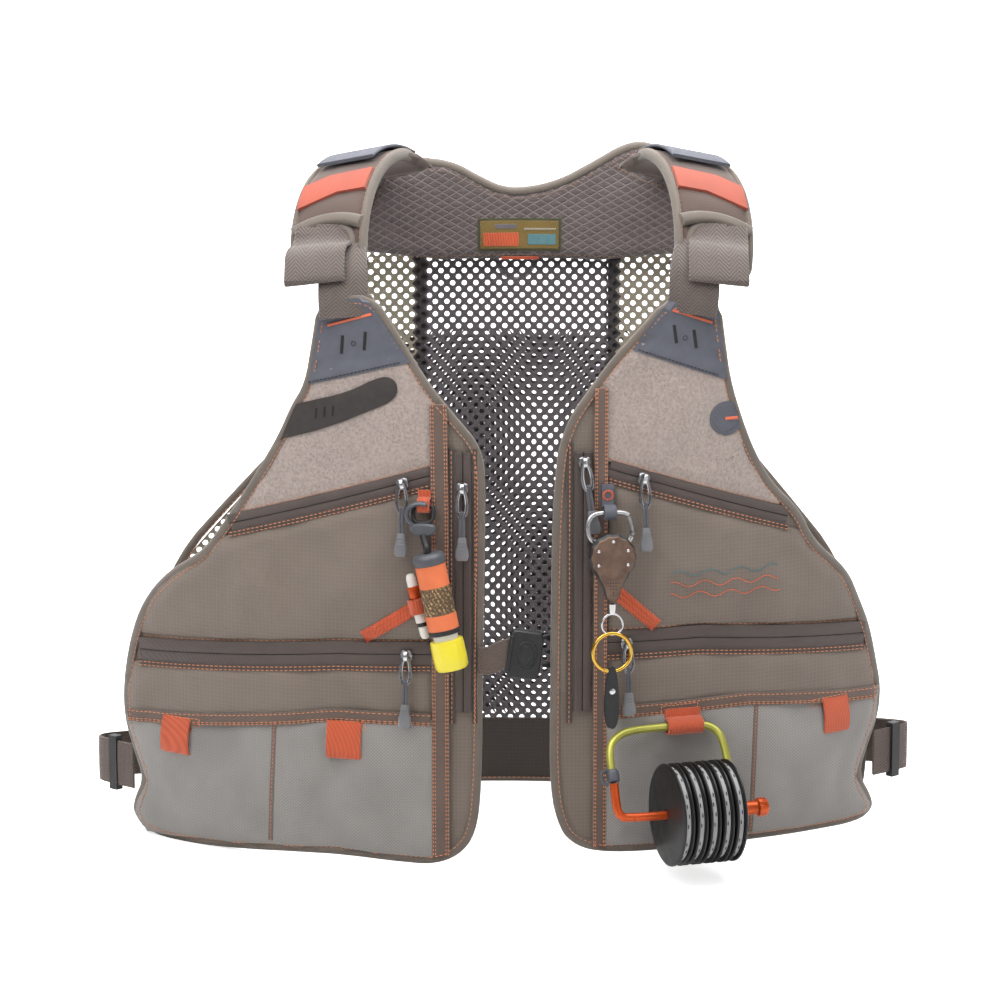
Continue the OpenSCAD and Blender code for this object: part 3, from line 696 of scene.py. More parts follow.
MAT = {
    "ripstop": ripstop("ripstop", rgb(120, 108, 98), rgb(138, 126, 115)),
    "ripstop_dark": ripstop("ripstop_dark", rgb(70, 62, 58), rgb(86, 77, 72)),
    "binding": twill("binding", rgb(108, 98, 89), rgb(127, 117, 107), 1.6),
    "tape": twill("tape", rgb(100, 84, 76), rgb(118, 102, 92), 1.7, -0.8),
    "zip_tape": twill("zip_tape", rgb(78, 66, 62), rgb(90, 78, 73), 1.1, 0.3, 0.12, 0.7),
    # near black: painted shade in the zip gaps and in the tab's slots, and the real colour of the slate's
    # dark stitching
    "gap": grained("gap_shade_and_dark_thread", rgb(28, 25, 24), 0.8, 0.7),
    "webbing": herringbone("webbing", rgb(86, 76, 72), rgb(116, 104, 98)),
    "brown_web": herringbone("brown_webbing", rgb(88, 74, 68), rgb(112, 97, 90), 5.0, 2.2),
    "orange": twill("orange_tape", rgb(196, 82, 46), rgb(212, 104, 66), 2.2, 0.15, 0.35),
    "coral": twill("coral_tape", rgb(172, 74, 50), rgb(186, 90, 66), 1.5, 0.6),
    "fleece": loop_fleece("loop_fleece", rgb(160, 144, 136), rgb(188, 172, 163), rgb(118, 105, 100)),
    "fine_mesh": dotted_mesh("fine_mesh", rgb(150, 146, 142), rgb(96, 92, 90)),
    "pad_mesh": dotted_mesh("pad_mesh", rgb(92, 74, 66), rgb(56, 44, 40), 2.0),
    "lining": quilt("lining", rgb(98, 87, 86), rgb(134, 122, 120)),
    "slate": grained("slate_sheet", rgb(92, 94, 104), 0.9, 0.62, 0.12, 0.86),
    "black_sheet": grained("black_sheet", rgb(58, 52, 50), 0.9, 0.6, 0.12, 0.8),
    "yarn_grey": twill("yarn_grey", rgb(96, 90, 94), rgb(126, 120, 124), 1.0, 0.8, 0.3),
    "yarn_olive": twill("yarn_olive", rgb(150, 142, 124), rgb(182, 174, 156), 1.0, 0.8, 0.3),
    "yarn_dark": twill("yarn_dark", rgb(60, 54, 56), rgb(84, 78, 80), 1.0, 0.8, 0.3),
    "thread": grained("orange_thread", rgb(214, 142, 104), 0.6, 0.7, 0.1, 0.85),
    "thread_red": grained("coral_thread", rgb(226, 116, 84), 0.6, 0.7, 0.1, 0.85),
    "thread_brown": grained("brown_thread", rgb(140, 112, 92), 0.6, 0.7, 0.1, 0.85),
    "teal": grained("teal_thread", rgb(86, 128, 134), 0.6, 0.7, 0.1, 0.85),
    "black": grained("black_plastic", rgb(34, 34, 36), 1.4, 0.42, 0.08, 0.8),
    "spool": grained("spool_plastic", rgb(26, 26, 28), 1.4, 0.36, 0.06, 0.8),
    "grey_plastic": grained("grey_plastic", rgb(84, 86, 92), 1.6, 0.4, 0.08, 0.85),
    "spool_band": grained("spool_band", rgb(176, 176, 176), 1.2, 0.5, 0.05, 0.88),
    "clear_grip": grained("grip", rgb(128, 128, 132), 1.2, 0.38, 0.08, 0.82, Transmission_Weight=0.15),
    "cord": twill("pull_cord", rgb(84, 84, 90), rgb(112, 112, 118), 1.2, 1.0, 0.3),
    "chrome": grained("dark_chrome", rgb(150, 150, 154), 1.0, 0.28, 0.03, 0.8, Metallic=1.0),
    "silver": grained("silver", rgb(214, 214, 216), 1.0, 0.22, 0.03, 0.92, Metallic=1.0),
    "steel": grained("satin_steel", rgb(196, 196, 198), 0.7, 0.3, 0.05, 0.9, Metallic=1.0),
    "gold": grained("gold", rgb(228, 182, 84), 0.9, 0.24, 0.03, 0.9, Metallic=1.0),
    "leather": leather("leather", rgb(112, 86, 70), rgb(82, 60, 48)),
    "green_rod": grained("green_rod", rgb(186, 184, 88), 0.8, 0.34, 0.04, 0.86, Metallic=0.55),
    "orange_metal": grained("orange_metal", rgb(206, 84, 32), 0.8, 0.3, 0.04, 0.86, Metallic=0.5),
    "sleeve": grained("sleeve", rgb(232, 122, 76), 1.0, 0.6, 0.25, 0.88),
    "glitter": glitter("glitter_panel", rgb(92, 72, 56), rgb(232, 196, 130)),
    "cap": grained("yellow_cap", rgb(244, 226, 52), 2.0, 0.34, 0.05, 0.92, Coat_Weight=0.3),
    "white": grained("white_plastic", rgb(232, 228, 220), 1.6, 0.36, 0.05, 0.93),
    "label": twill("label", rgb(118, 96, 44), rgb(142, 118, 62), 1.0, 0.2),
    "label_edge": twill("label_edge", rgb(62, 62, 36), rgb(86, 84, 54), 1.0, 0.2),
}


# ---------------------------------------------------------------- the cloth of the two fronts
relief = {"right": Relief(), "left": Relief()}
COVER = {side: inset(EDGE[side], 3) for side in EDGE}  # cloth runs on under the binding


def node_body(side):
    return "front_" + side


def cloth_rest(name):
    """The sewn shape of one cloth piece before it settles, and which points are sewn down."""
    side, outline, edge_r, rise, swell = CLOTHS[name]
    xz, tris, dist = tile(outline, COVER[side])
    seed = len(name) + (0 if side == "left" else 3)
    lift = smooth_step(dist / 9) * rise + smooth_step(dist / 55) * swell
    wave = np.array([ripples(x, z, 46, seed) + 0.5 * ripples(x, z, 19, seed + 1) for x, z in xz])
    lift = lift + wave * smooth_step(dist / 20) * min(1.1, 0.35 * (rise + swell))
    points = np.array([front(x, z, edge_r + h) for (x, z), h in zip(xz, lift)])
    return points, tris, dist < 1.5


def lower_under_mesh(points, name):
    """The part of a lower pocket that its mesh pocket covers lies flat."""
    line = MESH_TOPS[CLOTHS[name][0]]
    for p in points:
        top = np.interp(p[0], [x for x, z in line], [z for x, z in line]) - 2
        if p[2] < top:
            keep = 1 - smooth_step((top - p[2]) / 8)
            r = math.hypot(p[0], p[1] - AXIS_Y)
            k = (402.2 + (r - 402.2) * float(keep)) / r
            p[0], p[1] = p[0] * k, AXIS_Y + (p[1] - AXIS_Y) * k
    return points


def make_cloths():
    names = list(CLOTHS)
    rest = {n: cloth_rest(n) for n in names}
    moved = settle([rest[n] for n in names], 0.35, 0.035, 3.2, 0.5)
    look = {"fleece": "fleece", "chest": "ripstop", "lower": "ripstop", "mesh": "fine_mesh"}
    for name, points in zip(names, moved):
        side, kind = CLOTHS[name][0], name.split("_")[0]
        if kind == "lower":
            points = lower_under_mesh(points, name)
        shift = np.array([[-c * 0.7 for c in out_of_front(p[0])] for p in points])
        shape = relief[side].add(thicken(points, rest[name][1], shift))
        piece = Shape().add(shape, MAT[look[kind]]).done(
            "cloth_" + name, node_body(side), [name], look[kind])
        flat_area(rest[name][0], rest[name][1])


def make_base(side):
    """The base cloth with its lining, under everything else."""
    xz, tris, _ = tile(COVER[side], None, 6.0)
    points = np.array([front(x, z, 399.6 + 0.5 * ripples(x, z, 30, 4)) for x, z in xz])
    shift = np.array([[-c * 3.2 for c in out_of_front(x)] for x, z in xz])
    shape = relief[side].add(thicken(points, tris, shift))
    piece = Shape().add(shape, MAT["ripstop"]).done(
        "base_cloth_" + side, node_body(side), ["panel_" + side], "ripstop")
    flat_area(points, tris)


def edge_wave(x, z):
    return 0.5 * ripples(x, z, 24, 9)


def make_binding(side):
    """The folded binding round the front, with its dashed stitching."""
    line = rounded(EDGE[side], True, 2)
    line = resample(inset(line, BINDING_W / 2), 3.5, True)
    n = 16
    profile = [(3.5 * math.copysign(abs(math.cos(a)) ** 0.6, math.cos(a)),
                3.6 * math.copysign(abs(math.sin(a)) ** 0.7, math.sin(a)))
               for a in circle(n)]

    def place(x, z, h):
        return front(x, z, 398.6 + h + edge_wave(x, z))

    shape = relief[side].add(band(line, profile, place, True))
    piece = Shape().add(shape, MAT["binding"])
    inner = inset(rounded(EDGE[side], True, 2), BINDING_W - 1.3)
    stitches(piece, list(inner) + [inner[0]], relief[side].place, MAT["thread"], 3.6, 2.4, 0.36)
    piece.done("binding_edge_" + side, node_body(side), ["binding_" + side], "binding")


# slanting zips: side and line of the gap; then the upright ones: x, and the ends' heights
ZIPS = {
    "chest_right": ("right", [(-195, 234.5), (-50, 277)]),
    "mid_right": ("right", [(-266, 132.1), (-117, 147), (-50, 149.5)]),
    "chest_left": ("left", [(74, 281), (203, 238.8)]),
    "mid_left": ("left", [(73, 157), (140, 157), (264, 144.6)]),
}
EDGE_ZIPS = {"right": (-28, 108, 293), "left": (56, 108, 293)}


def make_zips(side):
    """Water-resistant zips: two dark flaps that meet in a thin gap, with a near-black band of painted shade
    in the gap.
    """
    piece = Shape()
    for name, (of, line) in ZIPS.items():
        if of != side:
            continue
        path = resample(line, 4)
        half = 6.3 if name.startswith("chest") else 8.5

        def place(x, z, h):
            return front(x, z, 401.2 + h)

        # a near-black band under the flaps: painted shade in the gap between them
        gap = band(path, [(-1.5, 0), (-1.5, 0.8), (1.5, 0.8), (1.5, 0)], place)
        piece.add(relief[side].add(gap), MAT["gap"])
        for s in (-1, 1):
            flap = [(s * u, h) for u, h in ((0.35, 0), (0.35, 1.5), (1.4, 2.0), (half - 1, 1.7),
                                            (half, 0.9), (half, 0))]
            flap = flap if s < 0 else flap[::-1]
            piece.add(relief[side].add(band(path, flap, place)), MAT["zip_tape"])
        # the pocket's top hem below the zip and the stitch line above it
        low = [(x, z - half - 1.6) for x, z in path]
        high = [(x, z + half + 1.0) for x, z in path]
        hem = band(low, flat_profile(4.5, 1.3), lambda x, z, h: front(x, z, 401.9 + h))
        piece.add(relief[side].add(hem), MAT["ripstop_dark"])
        for shift in (-1.3, 1.1):
            row = [(x, z + shift) for x, z in low]
            stitches(piece, row, relief[side].place, MAT["thread"], 3.3, 2.3, 0.36)
        stitches(piece, high, relief[side].place, MAT["thread"], 4.2, 2.6, 0.38)
    x, z0, z1 = EDGE_ZIPS[side]
    path = resample([(x, z0), (x, z1)], 4)
    for s in (-1, 1):
        flap = [(s * u, h) for u, h in ((0.35, 0), (0.35, 2.2), (1.6, 2.8), (5, 2.4), (6, 1.2), (6, 0))]
        flap = flap if s < 0 else flap[::-1]
        piece.add(relief[side].add(band(path, flap, lambda a, b, h: front(a, b, 400.2 + h))), MAT["zip_tape"])
    # the near-black band in the upright zip's slit is painted shade
    slit_shade = band(path, [(-1.2, 0), (-1.2, 1.4), (1.2, 1.4), (1.2, 0)], lambda a, b, h: front(a, b, 400.2 + h))
    piece.add(slit_shade, MAT["gap"])
    piece.done("zip_flaps_" + side, node_body(side), ["zips_" + side], "zip_tape")


TAPES = {
    # side: middle line of the vertical tape, its width, and the narrow strips beside the edge zip
    "right": ([(-45, 327), (-44, 250), (-44, 120), (-44, 3)], 12.5, [(-19.5, 100, 296), (-36, 100, 296)]),
    "left": ([(68.5, 338), (68.5, 250), (68.5, 120), (68.5, 9)], 9.5, [(46.5, 100, 300), (63.5, 100, 100)]),
}


def make_tapes(side):
    """The vertical tape with two rows of stitching, and the strips beside the front zip."""
    line, width, strips = TAPES[side]
    piece = Shape()
    path = resample(line, 4)
    tape = band(path, flat_profile(width, 1.6, 0.5), lambda x, z, h: front(x, z, 402.6 + h))
    under = band(path, flat_profile(width - 1, 2.6), lambda x, z, h: front(x, z, 400.1 + h))
    piece.add(under, MAT["tape"])
    piece.add(relief[side].add(tape), MAT["tape"])
    for s in (-1, 1):
        for u in (0.30, 0.42):
            row = [(x + s * width * u, z) for x, z in path]
            stitches(piece, row, relief[side].place, MAT["thread"], 3.2, 2.0, 0.42)
    for x, z0, z1 in strips:
        if z1 > z0:
            path = resample([(x, z0), (x, z1)], 4)
            strip = band(path, flat_profile(4.6, 1.6, 0.3), lambda a, b, h: front(a, b, 400.4 + h))
            piece.add(relief[side].add(strip), MAT["ripstop_dark"])
            stitches(piece, path, relief[side].place, MAT["thread"], 3.6, 2.4, 0.36)
    piece.done("stitched_tape_" + side, node_body(side), ["tape_" + side], "brown_tape")


MESH_TOPS = {
    "right": [(-276, 81.5), (-196, 92), (-117, 103), (-51, 102.5)],
    "left": [(74, 106.5), (176, 110), (277, 98.5)],
}
DIVIDERS = {"right": [(-163, 95), (-167, 6)], "left": [(181, 104), (178, 11)]}
BOX_STITCHES = {"right": [(-232, 86), (-110, 97)], "left": [(125, 108), (236, 101)]}


def make_mesh_hem(side):
    """The brown tape along the top of the mesh pocket, its divider and its box stitches."""
    piece = Shape()
    path = resample(MESH_TOPS[side], 4)
    place = relief[side].place
    levels = [place(x, z) for x, z in path]
    radius = [math.hypot(p[0], p[1] - AXIS_Y) for p in levels]
    xs = [p[0] for p in path]

    def over(x, z, h):
        return front(x, z, float(np.interp(x, xs, radius)) + 0.2 + h)

    hem = band(path, flat_profile(9.5, 1.5, 0.3), over)
    piece.add(relief[side].add(hem), MAT["tape"])
    for shift in (-3.4, -2.0, 3.4):
        row = [(x, z + shift) for x, z in path]
        stitches(piece, row, place, MAT["thread"], 3.4, 2.2, 0.36)
    for x, z in BOX_STITCHES[side]:
        box = [(x - 13, z - 4), (x + 13, z - 3), (x + 13, z + 3), (x - 13, z + 2), (x - 13, z - 4)]
        stitches(piece, box, place, MAT["thread"], 3.0, 2.1, 0.36)
    a, b = DIVIDERS[side]
    row = resample([a, b], 4)
    piece.add(band(row, flat_profile(3.4, 0.7), lambda x, z, h: place(x, z, h - 0.2)), MAT["binding"])
    stitches(piece, row, place, MAT["thread_red"], 3.2, 2.2, 0.36)
    piece.done("mesh_pocket_hem_" + side, node_body(side), (), "brown_tape")


SLATE = {
    # outline, slots as (x, z, lean), and the dot
    "right": ([(-142, 392), (-95, 401), (-64, 356), (-140, 337)], [(-112, 367, 4), (-96, 370, 4)],
              (-104, 368)),
    "left": ([(116, 401), (160, 391), (160, 339), (90, 364)], [(120, 374, -8), (134, 370, -8)],
             (127, 371)),
}
SLATE_BARS = {"right": [(-122, 380), (-91, 389)], "left": [(118, 391), (146, 381)]}


def plate(side, outline, thick, step=5.0):
    """A thin sheet laid on a front."""
    xz, tris, dist = tile(outline, COVER[side], step)
    points = np.array([relief[side].place(x, z, thick - 0.6 * (1 - smooth_step(d / 1.5)))
                       for (x, z), d in zip(xz, dist)])
    shift = np.array([[-c * (thick - 0.1) for c in out_of_front(p[0])] for p in points])
    return thicken(points, tris, shift)


def make_slate(side):
    """The grained sheet at the shoulder with its two slots, drawn as black bands of painted shade, and a dot.
    """
    outline, slots, dot = SLATE[side]
    piece = Shape()
    body = plate(side, outline, 1.4)
    piece.add(relief[side].add(body), MAT["slate"])
    place = relief[side].place
    # each slot is a thin black band laid on the sheet: painted shade in the slot
    for x, z, lean in slots:
        t = math.radians(lean)
        dx, dz = math.sin(t) * 6.5, math.cos(t) * 6.5
        path = resample([(x - dx, z - dz), (x + dx, z + dz)], 2)
        rim = band(path, [(-1.1, -0.2), (-1.1, 0.25), (1.1, 0.25), (1.1, -0.2)], place)
        piece.add(rim, MAT["black"])
    ring = [(dot[0] + 1.5 * math.cos(a), dot[1] + 1.5 * math.sin(a))
            for a in circle(14)]
    piece.add(band(ring, [(-0.5, -0.2), (0, 0.35), (0.5, -0.2)], place, True), MAT["black"])
    row = [(x, z + 1.8) for x, z in resample([outline[3], outline[2]], 4)][1:-2]
    stitches(piece, row, place, MAT["gap"], 3.2, 2.2, 0.35)
    bar = [(-1, -0.2), (-0.7, 0.8), (0.7, 0.8), (1, -0.2)]
    piece.add(band(resample(SLATE_BARS[side], 3), bar, place), MAT["thread_red"])
    if side == "left":
        round_patch = [(157 + 12 * math.cos(a), 313 + 12 * math.sin(a))
                       for a in circle(28)]
        piece.add(relief[side].add(plate(side, round_patch, 1.4, 3.0)), MAT["slate"])
        ring = [(157 + 9 * math.cos(a), 313 + 9 * math.sin(a))
                for a in (2 * math.pi * i / 28 for i in range(29))]
        stitches(piece, ring, place, MAT["yarn_grey"], 2.6, 1.8, 0.36)
        piece.add(band([(156, 313), (165, 313)], flat_profile(2.2, 0.9), place), MAT["thread_red"])
        hanger(piece)
    piece.done("slate_sheet_" + side, node_body(side), ["hypalon_" + side], "hypalon")


def hanger(piece):
    """The slate tab with an orange grommet that carries the retractor."""
    spot = at(72, 252, R1)
    path = [(0, -1.4, 19), (0, -1.6, 8), (0, -3.0, 2), (0, -9, 5.2), (0, -13.4, 0), (0, -9, -4.6),
            (0, -5, -3.0)]
    line = [spot(p) for p in curve(path, 1.2, 2)]
    piece.add(sweep(line, flat_profile(9, 1.2), across=direction(spot, (1, 0, 0))), MAT["slate"])
    ring = [spot((3.2 * math.cos(a), -2.6, 11 + 3.2 * math.sin(a)))
            for a in circle(20)]
    piece.add(sweep(ring, round_profile(0.8, 8), True), MAT["orange"])


def make_tab():
    """The dark tab over the right fleece, with three short slots drawn as near-black bands of painted shade.
    """
    outline = rounded([(-164, 318), (-138, 326), (-110, 333), (-83, 347), (-73, 342), (-74, 330), (-91, 322),
                       (-123, 308), (-150, 300), (-168, 293)], True, 2)
    piece = Shape()
    body = plate("right", outline, 1.5)
    piece.add(relief["right"].add(body), MAT["black_sheet"])
    # each slot is a thin near-black band: painted shade in the slot
    for i, x in enumerate((-131, -125, -119)):
        path = resample([(x, 314.5 + i), (x + 0.6, 322 + i)], 2)
        piece.add(band(path, [(-0.7, -0.2), (-0.7, 0.2), (0.7, 0.2), (0.7, -0.2)],
                       relief["right"].place), MAT["gap"])
    piece.done("dark_tab", "front_right", ["tab_right"], "dark_sheet")


def make_ripple_mark():
    """A plain stitched ornament on the left chest pocket: three ripples."""
    piece = Shape()
    place = relief["left"].place
    for k, (look, z0) in enumerate((("teal", 205), ("thread_red", 197), ("thread_red", 189))):
        path = [(118 + 3.2 * i, z0 + 2.2 * math.sin(i * 0.9 + k)) for i in range(26)]
        stitches(piece, path, place, MAT[look], 2.6, 2.1, 0.36)
    piece.done("ripple_ornament", "front_left", (), "orange_tape")


# ---------------------------------------------------------------- back, collar and shoulders
def net(outline, place, pitch, row, hole, zones):
    """Knitted mesh with round holes in staggered rows; zones(x) names each strip's yarn."""
    o = np.array(outline)
    lo, hi = o.min(0), o.max(0)
    centres = [(x, z) for j, z in enumerate(np.arange(lo[1], hi[1], row))
               for x in np.arange(lo[0] + (pitch / 2 if j % 2 else 0), hi[0], pitch)]
    centres = [c for c, ok in zip(centres, inside(centres, outline)) if ok]
    parts = {}
    corner = [(pitch / 2, 0), (pitch / 4, row / 2), (0, row), (-pitch / 4, row / 2)]
    corner += [(-u, -w) for u, w in corner]
    turns = circle(8)
    for x, z in centres:
        verts, faces, index = parts.setdefault(zones(x), ([], [], {}))

        def vertex(u, w):
            key = (round(u * 20), round(w * 20))
            if key not in index:
                index[key] = len(verts)
                verts.append(place(u, w))
            return index[key]
        outer = [vertex(x + u, z + w) for u, w in corner]
        inner = [vertex(x + hole * math.cos(a), z + hole * math.sin(a)) for a in turns]
        faces += [(outer[i], outer[(i + 1) % 8], inner[(i + 1) % 8], inner[i]) for i in range(8)]
    return parts


def make_back():
    """The see-through back: a big-hole mesh, a second layer behind its middle, and a hem."""
    def yarn(x):
        if -67 < x < -58 or 79 < x < 89:
            return "yarn_dark"
        return "yarn_grey" if -58 <= x <= 79 else "yarn_olive"

    # the mesh runs on behind the collar
    limit = inset([(-104, 418)] + BACK_EDGE[1:-1] + [(128, 418)], 4)
    piece = Shape()
    for name, (verts, faces, _) in net(limit, back, 8.8, 4.7, 2.05, yarn).items():
        shift = np.array([[0, 0.9, 0]] * len(verts))
        piece.add(thicken(verts, faces, shift), MAT[name])
    mesh = piece.done("back_mesh", "vest_back", ["back_panel"], "back_mesh")
    pouch = [(-108, 348), (-150, 280), (-150, 52), (170, 52), (170, 280), (132, 348)]
    second = Shape()
    for name, (verts, faces, _) in net(pouch, lambda x, z: back(x, z, 401.5), 8.1, 4.9, 2.1,
                                       lambda x: "yarn_grey").items():
        second.add((verts, faces), MAT[name])
    pouch_piece = second.done("back_pouch_mesh", "vest_back", (), "back_mesh")
    trim = Shape()
    line = resample(rounded(BACK_EDGE, False, 2), 4)
    n = 14
    profile = [(3.2 * math.cos(a), 2.4 * math.sin(a)) for a in circle(n)]

    def place(x, z, h):
        return back(x, z, 398.5 - h)

    trim.add(band(line, profile, place), MAT["binding"])
    row = [(x * 0.985, z + (3.5 if z < 40 else 0)) for x, z in line]
    stitches(trim, row, lambda x, z, h: back(x, z, 395.6 - h), MAT["thread"], 3.8, 2.5, 0.36)
    for x in (-62, 84):
        strip = resample([(x, 296), (x, 409)], 5)
        trim.add(band(strip, flat_profile(9, 1.2), lambda x, z, h: back(x, z, 400.2 + h)), MAT["yarn_dark"])
    for edge in (pouch[:3][::-1], pouch[3:]):
        path = resample(edge, 5)
        trim.add(band(path, flat_profile(7, 1.6), lambda x, z, h: back(x, z, 401 + h)), MAT["binding"])
    trim.done("back_binding", "vest_back", (), "binding")
    low = [(-261, 46), (-260, 20), (-255, 3), (-230, -3), (235, -3), (261, 3), (267, 20), (268, 46)]
    xz, tris, _ = tile(low, None, 7.0)
    points = np.array([back(x, z, 397.6 + 0.5 * ripples(x, z, 26, 5)) for x, z in xz])
    hem = Shape().add(thicken(points, tris, np.array([[0, 4.2, 0]] * len(points))), MAT["ripstop_dark"])
    hem_piece = hem.done("back_hem_band", "vest_back", ["back_band"], "band_cloth")
    flat_area(points, tris)


def make_collar():
    """The padded, diamond-patterned collar with its binding, label and bar tack."""
    outline = rounded(YOKE_EDGE, True, 1)
    xz, tris, dist = tile(outline, None, 4.0)
    bulge = np.sqrt(np.clip(1 - (1 - np.clip(dist / 8, 0.02, 1)) ** 2, 0, 1))
    near = np.array([collar(x, z, COLLAR_R - 6.5 * b) for (x, z), b in zip(xz, bulge)])
    far = np.array([collar(x, z, COLLAR_R + 0.5 + 7.5 * b) for (x, z), b in zip(xz, bulge)])
    verts, faces = thicken(near, tris, far - near)
    pinned = np.concatenate([dist < 1.5, dist < 1.5])
    tri_faces = [tuple(f) for f in faces if len(f) == 3]
    rim = [f for f in faces if len(f) == 4]
    tri_faces += [t for f in rim for t in ((f[0], f[1], f[2]), (f[0], f[2], f[3]))]
    moved = settle([(np.array(verts), tri_faces, pinned)], 3.0, 0.015, 1.6, 1.0, 2.0)[0]
    piece = Shape().add((moved, tri_faces), MAT["lining"]).done(
        "collar_padding", "vest_back", ["yoke"], "lining")
    surface = BVHTree.FromPolygons([tuple(v) for v in moved], tri_faces)

    def place(x, z, h=0.0):
        hit = surface.ray_cast(Vector((x, -40, z)), Vector((0, 1, 0)))[0]
        p = hit if hit else Vector(collar(x, z, COLLAR_R - 2))
        out = Vector((COLLAR_X - x, COLLAR_Y - p[1], 0)).normalized()
        return tuple(Vector(p) + out * h)

    trim = Shape()
    top = rounded(YOKE_EDGE[1:-1], False, 2)
    line = resample(top, 3.5)
    n = 14
    profile = [(3.4 * math.cos(a), 5.6 * math.copysign(abs(math.sin(a)) ** 0.7, math.sin(a)))
               for a in circle(n)]
    trim.add(band(line, profile, lambda x, z, h: collar(x, z, COLLAR_R - h)), MAT["binding"])
    inner = [(x + k[0] * 4.6, z + k[1] * 4.6) for (x, z), k in zip(line, -normals(line))]
    stitches(trim, inner, place, MAT["thread_brown"], 3.4, 2.3, 0.36)
    foot = [(-98, 408), (126, 408)]
    stitches(trim, foot, place, MAT["thread_brown"], 3.6, 2.5, 0.36)
    trim.add(band([(-1, 405.6), (27, 405.6)], flat_profile(2.4, 1.2), place), MAT["thread_red"])
    corner = resample([(80, 478), (104, 466), (125, 462)], 3)
    stitches(trim, corner, place, MAT["thread_brown"], 3.2, 2.3, 0.36)
    trim.done("collar_binding", "vest_back", (), "binding")
    label(place)


def label(place):
    """A woven label with a plain border and bars, and no writing."""
    piece = Shape()

    def bar(x0, x1, z0, z1, look, lift):
        path = resample([(x0, (z0 + z1) / 2), (x1, (z0 + z1) / 2)], 4)
        piece.add(band(path, flat_profile(z1 - z0, 0.5), lambda x, z, h: place(x, z, lift + h)), MAT[look])
    bar(-19, 44, 411, 436, "label_edge", 0.2)
    bar(-17, 42, 413, 434, "label", 0.6)
    bar(-15, 12, 415, 425, "orange", 1.0)
    bar(-6, 10, 428, 431.5, "yarn_grey", 1.0)
    bar(16, 40, 427, 428.5, "yarn_olive", 1.0)
    bar(19, 40, 416, 424, "teal", 1.0)
    piece.done("woven_label", "vest_back", (), "lining")


PAD_X = {"right": -81, "left": 112}
PAD_YAW = {"right": -23, "left": 19}
PAD_Y, PAD_Z, PAD_LEAN = 10, 392, 12
SIGN = {"right": -1, "left": 1}


def on_pad(side, v, u, r):
    """A place on a shoulder pad: v across, u degrees to the front of the top, radius r."""
    lean, yaw, u = math.radians(PAD_LEAN * SIGN[side]), math.radians(PAD_YAW[side]), math.radians(u)
    ahead, up = r * math.sin(u), r * math.cos(u)
    x = v * math.cos(yaw) + ahead * math.sin(yaw)
    return (PAD_X[side] + x * math.cos(lean) + up * math.sin(lean),
            PAD_Y + v * math.sin(yaw) - ahead * math.cos(yaw),
            PAD_Z - x * math.sin(lean) + up * math.cos(lean))


PAD_EDGE = [(-28, -34), (28, -34), (28, 66), (25, 72), (21, 68), (18, 52), (-18, 52), (-21, 68), (-25, 72),
            (-28, 66)]


PAD_ARC = 1.64  # millimetres along a pad for one degree


def pad_lines(points):
    """(v, degrees) points as (v, length) ones; the order is kept."""
    return [(v, -u * PAD_ARC) for v, u in points]


def make_shoulder(side):
    """The padded part of one shoulder, and what is sewn to it."""
    s = SIGN[side]
    xz, tris, dist = tile(pad_lines(PAD_EDGE), None, 4.0)
    e = np.sqrt(np.clip(1 - (1 - np.clip(dist / 7, 0.02, 1)) ** 2, 0, 1))
    low = np.array([on_pad(side, v, -w / PAD_ARC, 95 - 5.0 * b) for (v, w), b in zip(xz, e)])
    top = np.array([on_pad(side, v, -w / PAD_ARC, 95.4 + 3.2 * b) for (v, w), b in zip(xz, e)])
    verts, faces = thicken(top, tris, low - top)
    flat = [tuple(f) for f in faces if len(f) == 3]
    flat += [t for f in faces if len(f) == 4 for t in ((f[0], f[1], f[2]), (f[0], f[2], f[3]))]
    pinned = np.concatenate([dist < 1.5, dist < 1.5])
    moved = settle([(np.array(verts), flat, pinned)], 3.0, 0.02, 1.8, 1.0, 2.0)[0]
    piece = Shape().add((moved, flat), MAT["pad_mesh"]).done(
        "shoulder_pad_" + side, "vest_back", ["shoulder_" + side], "padding")
    trim_shoulder(side, s)


def pad_band(side, line, profile, r, closed=False):
    """A band along a (v, degrees) line on a pad."""
    return band(pad_lines(line), profile, lambda v, w, h: on_pad(side, v, -w / PAD_ARC, r + h), closed)


def trim_shoulder(side, s):
    """Binding, orange strip, cross binding and top tab of one shoulder pad."""
    edge = resample(rounded(PAD_EDGE, True, 2), 2.5, True)
    n = 14
    profile = [(2.9 * math.cos(a), 4.2 * math.sin(a)) for a in circle(n)]
    piece = Shape().add(pad_band(side, edge, profile, 95.6, True), MAT["binding"])
    for k in (-1, 1):
        row = [(k * 26.4, -u * PAD_ARC) for u in range(-32, 64, 2)]
        stitches(piece, row, lambda v, w, h: on_pad(side, v, -w / PAD_ARC, 99.2 + h), MAT["thread_brown"],
                 3.6, 2.4, 0.36)
    cross = [(v, 53 - 4.0 * (1 - (v / 28) ** 2)) for v in range(-27, 28, 3)]
    piece.add(pad_band(side, cross, flat_profile(9, 3.4, 0.5), 98.8), MAT["binding"])
    piece.done("shoulder_binding_" + side, "vest_back", (), "binding")
    strip = [(-26 * s, 23), (-26 * s, 36), (-4 * s, 36), (26 * s, 42), (26 * s, 29), (8 * s, 24)]
    xz, tris, _ = tile(pad_lines(strip), None, 3.0)
    top = np.array([on_pad(side, v, -w / PAD_ARC, 101.9) for v, w in xz])
    low = np.array([on_pad(side, v, -w / PAD_ARC, 99.0) for v, w in xz])
    coral = Shape().add(thicken(top, tris, low - top), MAT["coral"])
    coral.done("shoulder_strip_" + side, "vest_back", ["shoulder_strips"] if s > 0 else (), "orange_tape")
    tab = [on_pad(side, 0, u, 101 + 0.06 * (u + 24) ** 1.1) for u in range(-24, 18, 2)]
    across = [b - a for a, b in zip(on_pad(side, 0, 0, 100), on_pad(side, 1, 0, 100))]
    shape = Shape().add(sweep(tab, box_outline(46, 2.6, 1.2, 3), across=across), MAT["slate"])
    shape.done("shoulder_tab_" + side, "vest_back", (), "webbing")


